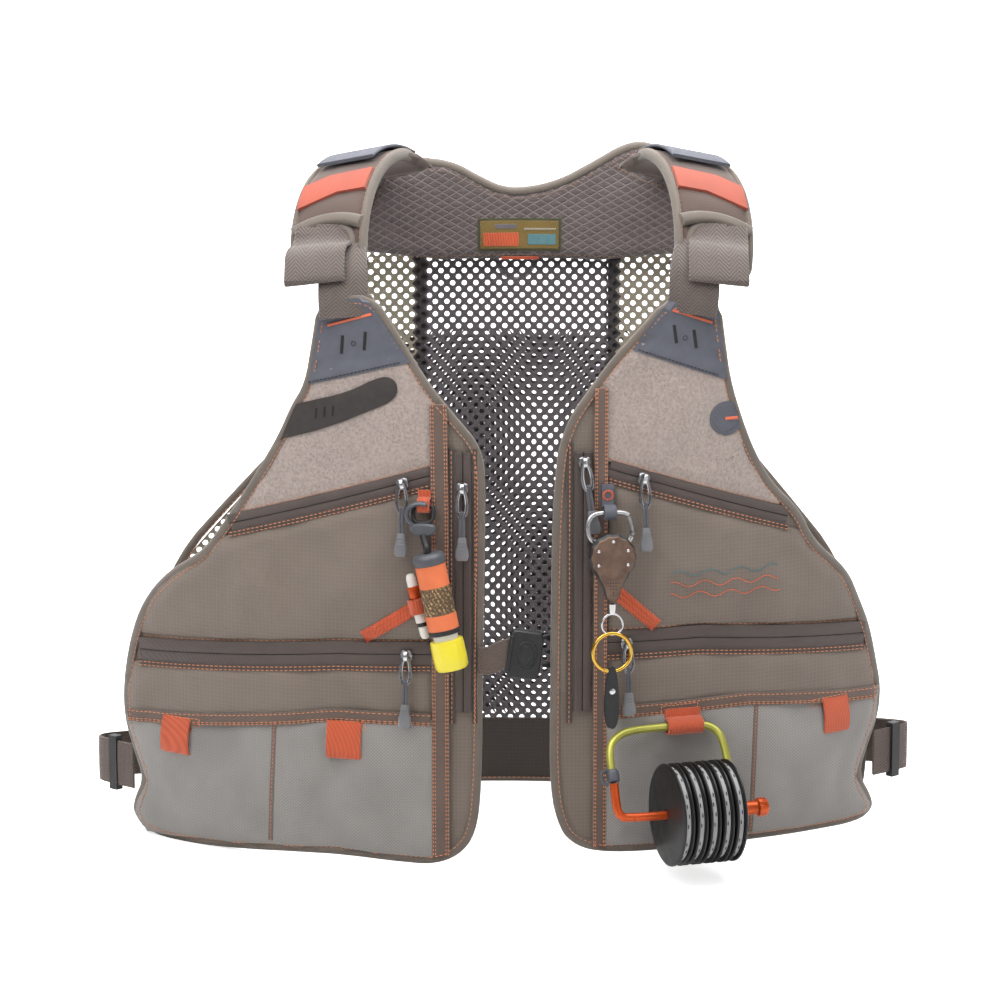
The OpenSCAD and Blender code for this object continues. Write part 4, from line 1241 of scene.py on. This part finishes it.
STRAPS = {
    # the strap's middle line, the direction across it, and the tail's x
    "right": ([(-111, -98, 418), (-111, -106, 399), (-110, -107.5, 386)], (0.97, 0, 0.20), -131),
    "left": ([(133, -98, 420), (133, -103, 402), (131, -101.2, 388)], (0.97, 0, -0.25), 150),
}


def make_strap(side):
    """Webbing from under the pad to the front, and its folded tail."""
    line, across, tail_x = STRAPS[side]
    s = SIGN[side]
    start = [on_pad(side, -10 * s, u, 97.5) for u in (52, 60)]
    path = curve(start + line, 2.5, 2)
    piece = Shape().add(sweep(path, flat_profile(35, 1.7, 0.2), across=across), MAT["webbing"])
    strap = piece.done("shoulder_strap_" + side, None, ["shoulder_straps"] if s > 0 else (), "webbing")
    bend_from, bend_to = V((tail_x, -96, 416)), V((tail_x, -104, 396))
    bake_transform(strap)
    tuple(bend_from)
    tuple(bend_to)
    tail = [on_pad(side, 0, 54, 101.5), on_pad(side, 0, 61, 103.5), (tail_x, -91, 431),
            (tail_x, -102, 419), (tail_x, -107, 411.5), (tail_x, -103.5, 411), (tail_x, -100, 418)]
    line = curve(tail, 2.0, 2)
    across = (0.985, 0, -0.12 * s)
    flap = Shape().add(sweep(line, flat_profile(42, 1.8, 0.2), across=across), MAT["webbing"])
    mid = line[int(len(line) * 0.52)]
    seam = [(mid[0] + 0.985 * v, mid[1] - 1.4, mid[2] - 0.12 * s * v) for v in range(-19, 20, 2)]
    for a, b in zip(seam[::2], seam[1::2]):
        flap.add(sweep([a, [(p + q) / 2 for p, q in zip(a, b)], b], round_profile(0.6, 6)), MAT["thread_red"])
    flap.done("strap_tail_" + side, "vest_back", (), "webbing")


SIDE_PATH = [(-262, 42), (-296, 32), (-303, 23), (-290, 10), (-273, -4)]


def make_side_strap(side):
    """Side webbing from the back to the front, folded round its outer end."""
    s = SIGN[side]
    z = 39 if side == "right" else 49
    points = [(x if s < 0 else 2 - x, y, z) for x, y in SIDE_PATH]
    path = curve(points, 2.0, 2)
    piece = Shape().add(sweep(path, flat_profile(34, 1.7, 0.2), across=(0, 0, 1)), MAT["brown_web"])
    strap = piece.done("side_strap_" + side, None, ["side_webbing"] if s > 0 else (), "webbing")
    V(points[3])
    V(points[4])
    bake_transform(strap)


# ---------------------------------------------------------------- loops, buckle and zips' pulls
# (outward, up) lines of webbing: sewn flat, and folded into an eye
FLAT_LOOP = [(-0.9, 15), (-2.6, 12), (-4.4, 4), (-5, -4), (-4.4, -9.5), (-2.6, -10.5), (-1.2, -9), (-0.9, 0),
             (-0.8, 8)]
LOOP_LINE = [(-0.9, 12), (-0.9, 5), (-3.4, 4.9), (-8.4, 3.6), (-9.8, -0.6), (-7.2, -4.8), (-3.2, -4.4),
             (-1.5, -1.8), (-1.3, 2)]


def fold_loop(piece, x, z, width, r, size=1.0, shape=LOOP_LINE):
    """A webbing loop: sewn flat at the top and folded into an open eye."""
    spot = at(x, z, r)
    line = curve([spot((0, y * size, w * size)) for y, w in shape], 1.0, 3)
    piece.add(sweep(line, flat_profile(width, 1.3, 0.15), across=direction(spot, (1, 0, 0))),
              MAT["orange"])
    for k in (-1, 1):
        seam = [spot((k * (width / 2 - 1.6), y * size - 0.75, w * size)) for y, w in shape[:5]]
        piece.add(sweep(curve(seam, 1.4, 2), round_profile(0.35, 5)), MAT["thread"])


def slanted_tape(piece, side, a, b, width):
    """The orange tape sewn flat above a lower pocket."""
    path = resample([a, b], 3)
    tape = band(path, flat_profile(width, 1.5, 0.2), relief[side].place)
    piece.add(tape, MAT["orange"])
    for u in (-0.3, 0, 0.3):
        row = band(path, [(width * u - 0.35, 1.3), (width * u, 1.95), (width * u + 0.35, 1.3)],
                   relief[side].place)
        piece.add(row, MAT["thread_red"])


def make_loops():
    """The orange webbing loops of both fronts."""
    right = Shape()
    fold_loop(right, -232, 73, 26, 405.9, shape=FLAT_LOOP)
    fold_loop(right, -110, 84, 26, 405.9, shape=FLAT_LOOP)
    fold_loop(right, -54, 257, 9, 404.2, 0.85)
    slanted_tape(right, "right", (-98, 160), (-60, 184), 10)
    spot = at(-58, 186, R1)
    lean = math.radians(-14)
    ring = [spot((5.3 * math.cos(a) * math.cos(lean), -7.2 + 5.3 * math.sin(a),
                  -5.3 * math.cos(a) * math.sin(lean)))
            for a in circle(28)]
    down = [b - a for a, b in zip(spot((0, 0, 0)), spot((math.sin(lean), 0, math.cos(lean))))]
    right.add(sweep(ring, flat_profile(11, 1.2), True, across=down), MAT["orange"])
    right.done("webbing_loops_right", "front_right", ["loops_right"], "orange_tape")
    left = Shape()
    fold_loop(left, 125, 96, 27, 405.9)
    fold_loop(left, 236, 88, 24, 405.9, shape=FLAT_LOOP)
    slanted_tape(left, "left", (108, 168), (78, 195), 10)
    left.done("webbing_loops_left", "front_left", ["loops_left"], "orange_tape")


def make_buckle():
    """The two halves of the front buckle, each with its webbing."""
    spot = at(15, 150, R0)
    t = math.radians(8)

    def turn(u, v, h):
        return spot((u * math.cos(t) + v * math.sin(t), -h, -u * math.sin(t) + v * math.cos(t)))
    piece = Shape()
    piece.add(slab(box_outline(24, 34, 5), 2.7, 5.2, 0.9, turn), MAT["black"])
    piece.add(slab(box_outline(24, 34, 5), -4.6, -2.6, 0.7, turn), MAT["black"])
    for v in (-14.7, 14.7):
        rail = box_outline(20, 4, 1.5)
        piece.add(slab([(a, b + v) for a, b in rail], -3, 3, 0.4, turn), MAT["black"])
    oval = [(7.2 * math.cos(a), 10 * math.sin(a)) for a in circle(30)]
    piece.add(sweep([turn(u + 1, v, 5.2) for u, v in oval], round_profile(0.7, 8), True), MAT["black"])
    piece.add(slab([(u * 0.7 + 1, v * 0.7) for u, v in oval], 4.8, 5.8, 0.3, turn), MAT["black"])
    piece.add(slab([(u - 10.5, v) for u, v in box_outline(3, 26, 1.2)], -2, 6, 0.6, turn), MAT["black"])
    web = curve([front(-17, 146, 403.2), front(-9, 146, 404.6), turn(-13, 0, 2.4), turn(-9, 0, 1.0)], 1.5, 2)
    piece.add(sweep(web, flat_profile(20, 1.6, 0.2), across=(0, 0, 1)), MAT["brown_web"])
    piece.done("buckle_socket_half", "front_right", ["buckle_right"], "black_plastic")
    spot2 = at(46, 149, R0 - 12)

    def flat(u, v, h):
        return spot2((u, -h, v))
    other = Shape()
    other.add(slab([(u + 2, v) for u, v in box_outline(12, 30, 3)], -3, 3, 0.9, flat), MAT["black"])
    for v in (-10, 10):
        prong = rounded([(-17, v - 1.6), (-3, v - 2), (-3, v + 2), (-17, v + 2.4)], True, 1)
        other.add(slab(prong, -1.9, 1.9, 0.5, flat), MAT["black"])
    tongue = rounded([(-15, -1.6), (-3, -2), (-3, 2), (-15, 1.6)], True, 1)
    other.add(slab(tongue, -1.9, 1.9, 0.5, flat), MAT["black"])
    web = [flat(7, 0, 0), flat(18, 0, 0.4), flat(29, 0, 0)]
    other.add(sweep(curve(web, 2, 2), flat_profile(20, 1.6, 0.2), across=(0, 0, 1)), MAT["brown_web"])
    other.done("buckle_prong_half", "front_left", ["buckle_left"], "black_plastic")


SLIDERS = {
    # x, z, lean of the slider, and swing of a pull that is one body with it
    "chest_right": (-69, 270.5, -16.5, 0), "mid_right": (-67, 148, 0, 0),
    "chest_left": (97, 273.2, 18, 0), "mid_left": (86, 155.8, 0, 0),
    "side_right": (-28, 268, 0, 0), "side_left": (56, 286, 0, -8),
}


def leaned(spot, degrees, pivot=0.0):
    """A place's own axes turned in the plane of the cloth about a point pivot outward."""
    t = math.radians(degrees)
    c, s = math.cos(t), math.sin(t)
    return lambda p: spot((c * p[0] + s * p[2], p[1] + pivot, -s * p[0] + c * p[2]))


def slider_shape(piece, spot):
    """The slider's body and the bridge that holds the pull."""
    outline = rounded([(-3.4, -4), (3.4, -4), (4.6, 3), (2.2, 4.6), (-2.2, 4.6), (-4.6, 3)], True, 1)
    piece.add(slab(outline, 0.1, 3.1, 0.8, lambda u, v, h: spot((u, -h, v))), MAT["chrome"])
    bridge = curve([spot((0, y, z)) for y, z in ((-2.6, 4.2), (-5.4, 3.6), (-6.5, 0), (-5.4, -2.6),
                                                 (-2.6, -3.2))], 0.7, 3)
    across = direction(spot, (1, 0, 0))
    piece.add(sweep(bridge, box_outline(3.0, 1.1, 0.5, 3), across=across), MAT["silver"])


def hung(spot, degrees=6):
    """A place's own axes turned outward about the pull's hinge."""
    t = math.radians(degrees)
    c, s = math.cos(t), math.sin(t)
    return lambda p: spot((p[0], (p[1] + 4.6) * c + p[2] * s - 4.6, p[2] * c - (p[1] + 4.6) * s))


def pull_shape(piece, spot):
    """The double-wire bail, the cord below it and the moulded grip."""
    y = -4.6
    for half, wire, look in ((3.9, 0.75, "chrome"), (2.5, 0.5, "silver")):
        loop = [(half * math.cos(a) * (1 - 0.12 * math.sin(a)), -9.6 + (10.4 - (3.9 - half)) * math.sin(a))
                for a in circle(40)]
        piece.add(sweep([spot((u, y, w)) for u, w in loop], round_profile(wire, 8), True), MAT[look])
    for k in (-1, 1):
        line = [(k * 0.3, -16.8), (k * 1.1, -21), (k * 1.2, -28), (k * 1.0, -36)]
        strand = curve([spot((u, y, w)) for u, w in line], 1.2, 2)
        piece.add(sweep(strand, round_profile(1.05, 8)), MAT["cord"])
    piece.add(sweep([spot((-1.3, y, -16.6)), spot((0, y - 0.4, -16.0)), spot((1.3, y, -16.6))],
                    round_profile(1.1, 8)), MAT["cord"])
    steps = [(-33.5, 2.3, 1.5), (-34.5, 2.9, 1.9), (-39, 3.3, 2.1), (-43, 4.4, 2.3), (-47.2, 4.7, 2.3),
             (-49.6, 3.8, 2.0), (-50, 3.0, 1.5)]
    loops = [[spot((u, y + h, z)) for u, h in box_outline(2 * w, 2 * t, min(w, t) * 0.7, 3)]
             for z, w, t in steps]
    piece.add(rings(loops), MAT["clear_grip"])
    for z in (-37, -39.2, -41.4):
        rib = [spot((u, y - 2.1, z)) for u in (-2.4, 0, 2.4)]
        piece.add(sweep(rib, round_profile(0.4, 6)), MAT["clear_grip"])


def make_sliders():
    """The six zip sliders and their pulls."""
    for name, (x, z, lean, swing) in SLIDERS.items():
        spot = at(x, z, 403.6)
        piece = Shape()
        slider_shape(piece, leaned(spot, lean))
        body = "slider_" + name
        if name.startswith("side"):
            pull_shape(piece, leaned(spot, swing))
            piece.done("zip_slider_" + name, body + "_body", [body], "zip_metal")
            continue
        piece.done("zip_slider_" + name, body + "_body", [body], "zip_metal")
        pull = Shape()
        pull_shape(pull, hung(spot))
        pull.done("zip_pull_" + name, "pull_" + name + "_body", ["pull_" + name], "grip")


# ---------------------------------------------------------------- tools that hang on the vest
def make_floatant():
    """The hook, sleeve and bottle at the right chest, and the tube below them."""
    spot = at(-54, 257, R1 + 4.6)
    clip = Shape()
    wire = [(-6.5, 0, 0), (6.5, 0, 0), (7.4, -2, -6), (6, -4, -12), (-6, -4, -12), (-7.4, -2, -6)]
    clip.add(sweep(curve([spot(p) for p in wire], 1.0, 2, True), round_profile(1.5, 10), True), MAT["black"])
    body = rounded([(-8.6, -12), (8.6, -12), (9.4, -17), (6, -21.5), (-5, -21.5), (-9.4, -17)], True, 2)
    clip.add(slab(body, 2.4, 7.2, 1.3, lambda u, v, h: spot((u, -h, v))), MAT["grey_plastic"])
    hook = [(-8, -4.2, -13), (-12, -5, -8), (-10.5, -5.4, -1.5), (-4, -5.6, 2.4), (3, -5.6, 1.4)]
    clip.add(sweep(curve([spot(p) for p in hook], 1.2, 3), [(u * 1.5, h) for u, h in round_profile(1.8, 10)],
                   across=direction(spot, (0, -1, 0))), MAT["grey_plastic"])
    neck = [(0, -4.5, -20), (2, -9.5, -23.5), (4, -14.4, -26.5), (4.4, -15, -28.5), (5, -15, -31.5)]
    clip.add(sweep(curve([spot(p) for p in neck], 1.0, 3), round_profile(2.5, 12)), MAT["black"])
    clip.done("floatant_hook", "floatant_clip_body", ["floatant_clip"], "black_plastic")
    t = math.radians(12)
    base = spot((4, -15, -27))
    down = direction(spot, (math.sin(t), 0, -math.cos(t)))

    def turned(profile, sides=40, wobble=None):
        return lathe(profile, base, down, sides, wobble)
    sleeve = Shape()
    sleeve.add(turned([(4.3, 3.4), (4.1, 8), (5, 10.2), (7, 11.4), (9, 11.9), (11, 11.2), (12.4, 10.4),
                       (12.5, 3.4)]), MAT["grey_plastic"])
    sleeve.add(turned([(12, 10.2), (14, 10.7), (26, 10.6), (28, 10.8)]), MAT["sleeve"])
    sleeve.add(turned([(28, 10.6), (28.6, 10.9), (47, 10.8), (48, 10.6)]), MAT["glitter"])
    sleeve.add(turned([(47.5, 10.7), (49, 11.0), (58, 10.8), (59.4, 11.1)]), MAT["sleeve"])
    sleeve.add(turned([(58.5, 11.0), (59.5, 11.3), (61.2, 11.2), (62, 10.6), (62, 9.6), (60, 9.5)]),
               MAT["black"])
    sleeve.done("floatant_sleeve_cover", "floatant_sleeve_body", ["floatant_sleeve"], "sleeve")
    bottle = Shape()
    bottle.add(turned([(19, 3), (20, 8.8), (66, 8.8), (66.5, 10)]), MAT["white"])

    def facets(a, k):
        return 1 + (0.035 * abs(math.sin(6 * a)) if 0 < k < 6 else 0)
    cap = [(66, 9.8), (66.6, 11.2), (70, 11.5), (80, 11.6), (85.5, 11.3), (87.4, 10.2), (88, 7)]
    bottle.add(turned(cap, 48, facets), MAT["cap"])
    bottle.done("floatant_bottle_cap", "floatant_bottle_body", ["floatant_bottle"], "cap")
    spot = at(-58, 186, R1)
    t = math.radians(14)
    base = spot((0, -7.2, 0))
    up = direction(spot, (-math.sin(t), 0, math.cos(t)))
    tube = Shape()
    tube.add(lathe([(14, 3.6), (15, 3.5), (20, 3.4), (22.6, 2.6), (23.2, 1.2)], base, up, 28), MAT["white"])
    tube.add(lathe([(5, 4.0), (5.6, 4.25), (13.4, 4.25), (14.2, 3.9)], base, up, 28), MAT["orange_metal"])
    tube.add(lathe([(-12, 3.9), (-11.4, 4.15), (4.6, 4.15), (5.2, 3.9)], base, up, 28), MAT["white"])
    tube.add(lathe([(-15, 3.3), (-14.4, 3.8), (-12.4, 3.8), (-12, 3.5)], base, up, 28), MAT["black"])
    tube.add(lathe([(-24, 1.2), (-23.4, 2.6), (-21, 3.4), (-15, 3.4)], base, up, 28), MAT["white"])
    tube.done("floatant_tube_body_shell", "floatant_tube_body", ["floatant_tube"], "tube")


def make_retractor():
    """The carabiner, the round reel and the ring with two leaves below it."""
    spot = at(72, 252, R1 + 9)
    loop = [(13.2, -0.2, -2.2), (9, 0, 0.1), (-9, 0, 0.1), (-14.6, -0.5, -3.5), (-16.2, -1.2, -9),
            (-14.8, -2, -18), (-9, -2, -21.2), (8, -2, -21.2), (13.5, -2, -20.2), (15.0, -1.9, -17)]
    piece = Shape()
    line = curve([spot(p) for p in loop], 1.0, 2)
    piece.add(sweep(line, round_profile(1.7, 12)), MAT["steel"])
    piece.done("carabiner_wire", "carabiner_body", ["carabiner"], "steel")
    gate = Shape()
    points = [spot(p) for p in ((15.6, -1.6, -14.4), (15.2, -1.2, -9), (13.6, -0.3, -3.4))]
    gate.add(sweep(curve(points, 1.0, 2), round_profile(1.3, 12)), MAT["steel"])
    out = direction(spot, (0, -1, 0))
    gate.add(lathe([(-1.6, 0.9), (-1.3, 1.6), (1.3, 1.6), (1.6, 0.9)], points[0], out, 20), MAT["chrome"])
    gate.done("carabiner_gate_wire", "carabiner_gate_body", ["carabiner_gate"], "steel")

    def local(u, v, h):
        return spot((u, -2 - h, v - 21))
    case = Shape()
    turns = circle(84)
    radii = [16.5 + 0.35 * math.cos(14 * a) for a in turns]
    outline = [(r * math.cos(a), -9 + r * math.sin(a)) for a, r in zip(turns, radii)]
    case.add(slab(outline, 3.6, 9.6, 1.4, local), MAT["black"])
    face = [(u * 0.93, (v + 9) * 0.93 - 9) for u, v in outline]
    case.add(slab(face, 9.2, 11.4, 0.9, local), MAT["leather"])
    tail = rounded([(-14, -14), (-12.4, -21), (-6.5, -30), (-4.3, -40), (4.3, -40), (6.5, -30), (12.4, -21),
                    (14, -14)], True, 1)
    case.add(slab(tail, 4.1, 9.8, 1.2, local), MAT["black"])
    case.add(slab([(u * 0.86, v * 0.97 - 0.6) for u, v in tail], 9.4, 11.0, 0.7, local), MAT["leather"])
    hood = rounded([(-6, -2), (-5, 6), (5, 6), (6, -2)], True, 2)
    case.add(slab(hood, 3.4, 9.0, 1.0, local), MAT["leather"])
    for u, v in ((-10.4, -4), (10.4, -4), (-10.4, -14), (10.4, -14), (0, 2.6)):
        rivet = [(-0.4, 1.1), (0.2, 1.05), (0.6, 0.6), (0.7, 0.2)]
        case.add(lathe(rivet, local(u, v, 11.2), out, 14), MAT["silver"])
    for row in range(5):
        for k in range(-2, 3):
            if abs(k) <= 2 - row * 0.4:
                dot = local(k * 1.9, -26.5 - row * 2.2, 10.9)
                case.add(lathe([(-0.3, 0.55), (0.2, 0.5), (0.3, 0.2)], dot, out, 8), MAT["black"])
    case.add(lathe([(-3.4, 4.0), (-3.4, 4.2), (3.4, 4.2), (3.4, 4.0)], local(0, 0, 0),
                   direction(spot, (1, 0, 0)), 24), MAT["black"])
    case.done("retractor_case", "retractor_reel_body", ["retractor_reel"], "reel")
    fob = Shape()

    def hang(u, v, h):
        return spot((u, -9.5 - h, v - 21))
    down = (0, 0, -1)
    fob.add(lathe([(41.5, 1.8), (42, 2.6), (46, 2.5), (49.4, 2.0), (50, 1.2)], hang(0, 0, 0), down, 24),
            MAT["silver"])
    for z, r, wire_r, look in ((-56.5, 7.4, 0.9, "silver"), (-76.5, 13.6, 1.45, "gold")):
        ring = [hang(r * math.cos(a), z + r * math.sin(a), 0.3) for a in circle(48)]
        fob.add(sweep(ring, round_profile(wire_r, 10), True), MAT[look])
    for k in (-1, 1):
        leaf = rounded([(-2, -86), (2, -86), (4.3, -96), (5.3 + 0.3 * k, -118), (2.6 + 0.6 * k, -131),
                        (-3 + 0.6 * k, -131), (-5.5 + 0.3 * k, -118), (-4.4, -96)], True, 2)
        low, high = (0.35, 2.0) if k > 0 else (-2.0, -0.35)
        fob.add(slab(leaf, low, high, 0.45, hang), MAT["black"])
    pin = [(-2.6, 1.7), (-2.4, 2.1), (2.4, 2.1), (2.6, 1.7)]
    fob.add(lathe(pin, hang(0, -104, 0), out, 20), MAT["silver"])
    fob.done("retractor_fob_parts", "retractor_fob_body", ["retractor_fob"], "brass")


TIP_C = (0, -33, -55)  # the spools' axle, in the tippet's own axes


def make_tippet():
    """The green rod, the spindle and the five spools."""
    spot = at(125, 96, R2 + 5.2)
    frame_shape = Shape()
    rod = [(26.75, -33, -49.5), (26.4, -22, -34), (26, -9, -9), (21, -3, -2), (12, 0, 0), (-26, 0, 0),
           (-46, -4, 0), (-57, -9, -4), (-61.5, -14, -11), (-62, -21.5, -24.3)]
    line = curve([spot(p) for p in rod], 1.4, 2)
    frame_shape.add(sweep(line, round_profile(2.8, 14)), MAT["green_rod"])
    eye = spot((26.75, TIP_C[1], TIP_C[2]))
    along = direction(spot, (1, 0, 0))
    ring = [(-2.3, 3.5), (-2.3, 6.4), (-1.7, 7.1), (1.7, 7.1), (2.3, 6.4), (2.3, 3.5)]
    frame_shape.add(closed_lathe(ring, eye, along), MAT["green_rod"])
    top = spot((-62, -21, -23.3))
    way = [b - a for a, b in zip(top, spot((-62, -25.06, -30.2)))]
    frame_shape.add(lathe([(-1, 3.2), (0, 4.3), (2, 4.6), (6, 4.6), (7.6, 4.3), (8, 3.4)], top, way, 24),
                    MAT["grey_plastic"])
    thumb = [spot(p) for p in ((-65.5, -21, -22), (-70.5, -21.5, -24), (-69.5, -24, -31), (-66, -25, -32))]
    frame_shape.add(sweep(curve(thumb, 1.0, 2), round_profile(1.3, 8)), MAT["grey_plastic"])
    frame_shape.done("tippet_rod", "tippet", ["tippet_frame"], "green_rod")
    bar = Shape()
    bend = [(-62, -25.6, -31), (-62, -30, -45), (-60.5, -32.4, -52.5), (-54, -33, -55), (30, -33, -55)]
    bar.add(sweep(curve([spot(p) for p in bend], 1.6, 2), round_profile(3.15, 14)), MAT["orange_metal"])
    end = spot((29.8, TIP_C[1], TIP_C[2]))
    knob = [(0, 4.2), (0.6, 5.0), (11.5, 5.0), (12.4, 5.6), (13.2, 6.6), (18.6, 6.6), (20, 5.6), (20.2, 2.0),
            (19.4, 1.8)]

    def knurl(a, k):
        return 1 + (0.03 * math.cos(16 * a) if k in (4, 5) else 0)
    bar.add(lathe(knob, end, along, 32, knurl), MAT["orange_metal"])
    bar.done("tippet_spindle", "tippet", ["tippet_bar"], "anodised")
    for k in range(5):
        start = spot((-26 + 9.8 * k, TIP_C[1], TIP_C[2]))
        spool = Shape()
        flange = [(0, 4.1), (0, 33.6), (0.5, 35.4), (1, 36), (1.9, 36), (2.4, 35.3), (2.6, 33.2), (2.7, 32.4),
                  (6.3, 32.4), (6.4, 33.2), (6.6, 35.3), (7.1, 36), (8, 36), (8.5, 35.4), (9, 33.6), (9, 4.1)]
        spool.add(closed_lathe(flange, start, along, 72), MAT["spool"])
        belt = [(2.8, 32.2), (2.8, 33.1), (3.1, 33.4), (5.9, 33.4), (6.2, 33.1), (6.2, 32.2)]
        spool.add(closed_lathe(belt, start, along, 72), MAT["spool_band"])
        mark_spool(spool, start, along, spot)
        name = "spool_%d" % (k + 1)
        spool.done("tippet_" + name, name + "_body", [name], "black_plastic")


def closed_lathe(profile, centre, axis, sides=40):
    """A turned ring: the profile closes on itself, so that it has a hole."""
    axis = Vector(axis).normalized()
    u = axis.orthogonal().normalized()
    w = axis.cross(u)
    loops = []
    for a in circle(sides):
        out = u * math.cos(a) + w * math.sin(a)
        loops.append([Vector(centre) + axis * s + out * r for s, r in profile])
    return rings(loops, True)


def mark_spool(spool, start, along, spot):
    """Small plain marks on a spool's band, a few on every side of it."""
    out = Vector(direction(spot, (0, -1, 0)))
    up = Vector((0, 0, 1))
    for i in range(30):
        a = 2 * math.pi * i / 30
        if i % 5 == 4:
            continue
        way = out * math.cos(a) + up * math.sin(a)
        side = out * -math.sin(a) + up * math.cos(a)
        p = Vector(start) + Vector(along) * (4.0 + 1.0 * (i % 2)) + way * 33.3
        line = [p - side * 1.3, p, p + side * 1.3]
        spool.add(sweep(line, round_profile(0.45, 5)), MAT["spool"])


# ---------------------------------------------------------------- back of the neck, kept frame nodes
def make_hang_loop():
    """The webbing loop and its tab behind the neck."""
    piece = Shape()
    loop = [(119, 449), (119.6, 421), (121.5, 420.3), (124.6, 421), (125.4, 435), (124.6, 449),
            (121.5, 450), (120.4, 448)]
    tab = [(119, 420), (119.4, 414), (122, 414.2), (128.4, 412), (128.6, 408), (124.4, 405.8),
           (120.4, 407.4), (119.4, 411)]
    for line, step, thick in ((loop, 1.2, 1.4), (tab, 1.0, 1.3)):
        path = curve([(10, y, z) for y, z in line], step, 2)
        piece.add(sweep(path, flat_profile(14, thick, 0.1), across=(1, 0, 0)), MAT["brown_web"])
    piece.done("hang_loop_webbing", "vest_back", ["hang_loop"], "webbing")


def dress_frame_nodes():
    """The adjusters and the net ring keep their own shapes and get finished materials."""
    for name, look in (("adjuster_right", "black"), ("adjuster_left", "black"), ("net_ring", "silver")):
        node = bpy.data.objects[name]
        node.data.materials.clear()
        node.data.materials.append(MAT[look])


# ---------------------------------------------------------------- stage, light and camera
def make_stage():
    """A pale floor that curves up into a wall."""
    floor_z, wall_y = -12, 900
    line = [(-2600, floor_z), (wall_y - 500, floor_z), (wall_y - 120, floor_z + 60), (wall_y, floor_z + 420),
            (wall_y, 2600)]
    line = rounded(line, False, 3)
    verts = [V((x, y, z)) for y, z in line for x in (-3200, 3200)]
    faces = [(2 * i, 2 * i + 1, 2 * i + 3, 2 * i + 2) for i in range(len(line) - 1)]
    mesh = bpy.data.meshes.new("studio_floor")
    mesh.from_pydata(verts, [], faces)
    paper = Look("paper", 0.95, Emission_Color=(1, 1, 1, 1))
    seen = paper.nodes.new("ShaderNodeLightPath").outputs["Is Camera Ray"]
    paper.put(paper.math("MULTIPLY", seen, 0.72), paper.shader.inputs["Emission Strength"])
    mesh.materials.append(paper.done(paper.mix(paper.noise(400), rgb(250, 250, 250), rgb(246, 246, 246))))
    mesh.polygons.foreach_set("use_smooth", [True] * len(faces))
    floor = bpy.data.objects.new("studio_floor", mesh)
    bpy.context.collection.objects.link(floor)


def lamp(name, place, target, size, power):
    """A round lamp at a place, turned to its target."""
    light = bpy.data.lights.new(name, "AREA")
    light.shape, light.size, light.energy = "DISK", size, power
    ob = bpy.data.objects.new(name, light)
    ob.location = V(place)
    ob.rotation_euler = (V(target) - V(place)).to_track_quat("-Z", "Y").to_euler()
    bpy.context.collection.objects.link(ob)


def make_lights_and_camera():
    """Soft light from all sides and a long lens from the front."""
    world = bpy.data.worlds.new("studio")
    world.use_nodes = True
    world.node_tree.nodes["Background"].inputs[0].default_value = (1, 1, 1, 1)
    world.node_tree.nodes["Background"].inputs[1].default_value = 0.17
    bpy.context.scene.world = world
    middle = (0, -60, 250)
    lamp("key", (-1100, -1500, 1500), middle, 1.4, 13)
    lamp("fill", (1400, -1500, 700), middle, 1.8, 5)
    lamp("top", (0, 300, 1900), middle, 1.6, 8)
    lamp("wall", (0, 200, 1300), (0, 900, 300), 2.0, 30)
    elevation = math.radians(10)
    distance, width = 2400, 700
    aim = Vector((-2.1, -110, 258))
    look = Vector((0, math.cos(elevation), -math.sin(elevation)))
    camera = bpy.data.objects.new("camera", bpy.data.cameras.new("camera"))
    camera.location = V(aim - look * distance)
    camera.rotation_euler = look.to_track_quat("-Z", "Y").to_euler()
    camera.data.sensor_width = 36
    camera.data.lens = 36 * distance / width
    camera.data.clip_end = 20
    bpy.context.collection.objects.link(camera)
    bpy.context.scene.camera = camera
    bpy.context.scene.view_settings.view_transform = "Standard"


make_stage()
make_lights_and_camera()
for each_side in ("right", "left"):
    make_base(each_side)
make_cloths()
for each_side in ("right", "left"):
    make_zips(each_side)
    make_tapes(each_side)
    make_mesh_hem(each_side)
    make_binding(each_side)
    make_slate(each_side)
make_tab()
make_ripple_mark()
make_back()
make_collar()
for each_side in ("right", "left"):
    make_shoulder(each_side)
    make_strap(each_side)
    make_side_strap(each_side)
make_loops()
make_buckle()
make_sliders()
make_floatant()
make_retractor()
make_tippet()
make_hang_loop()
dress_frame_nodes()
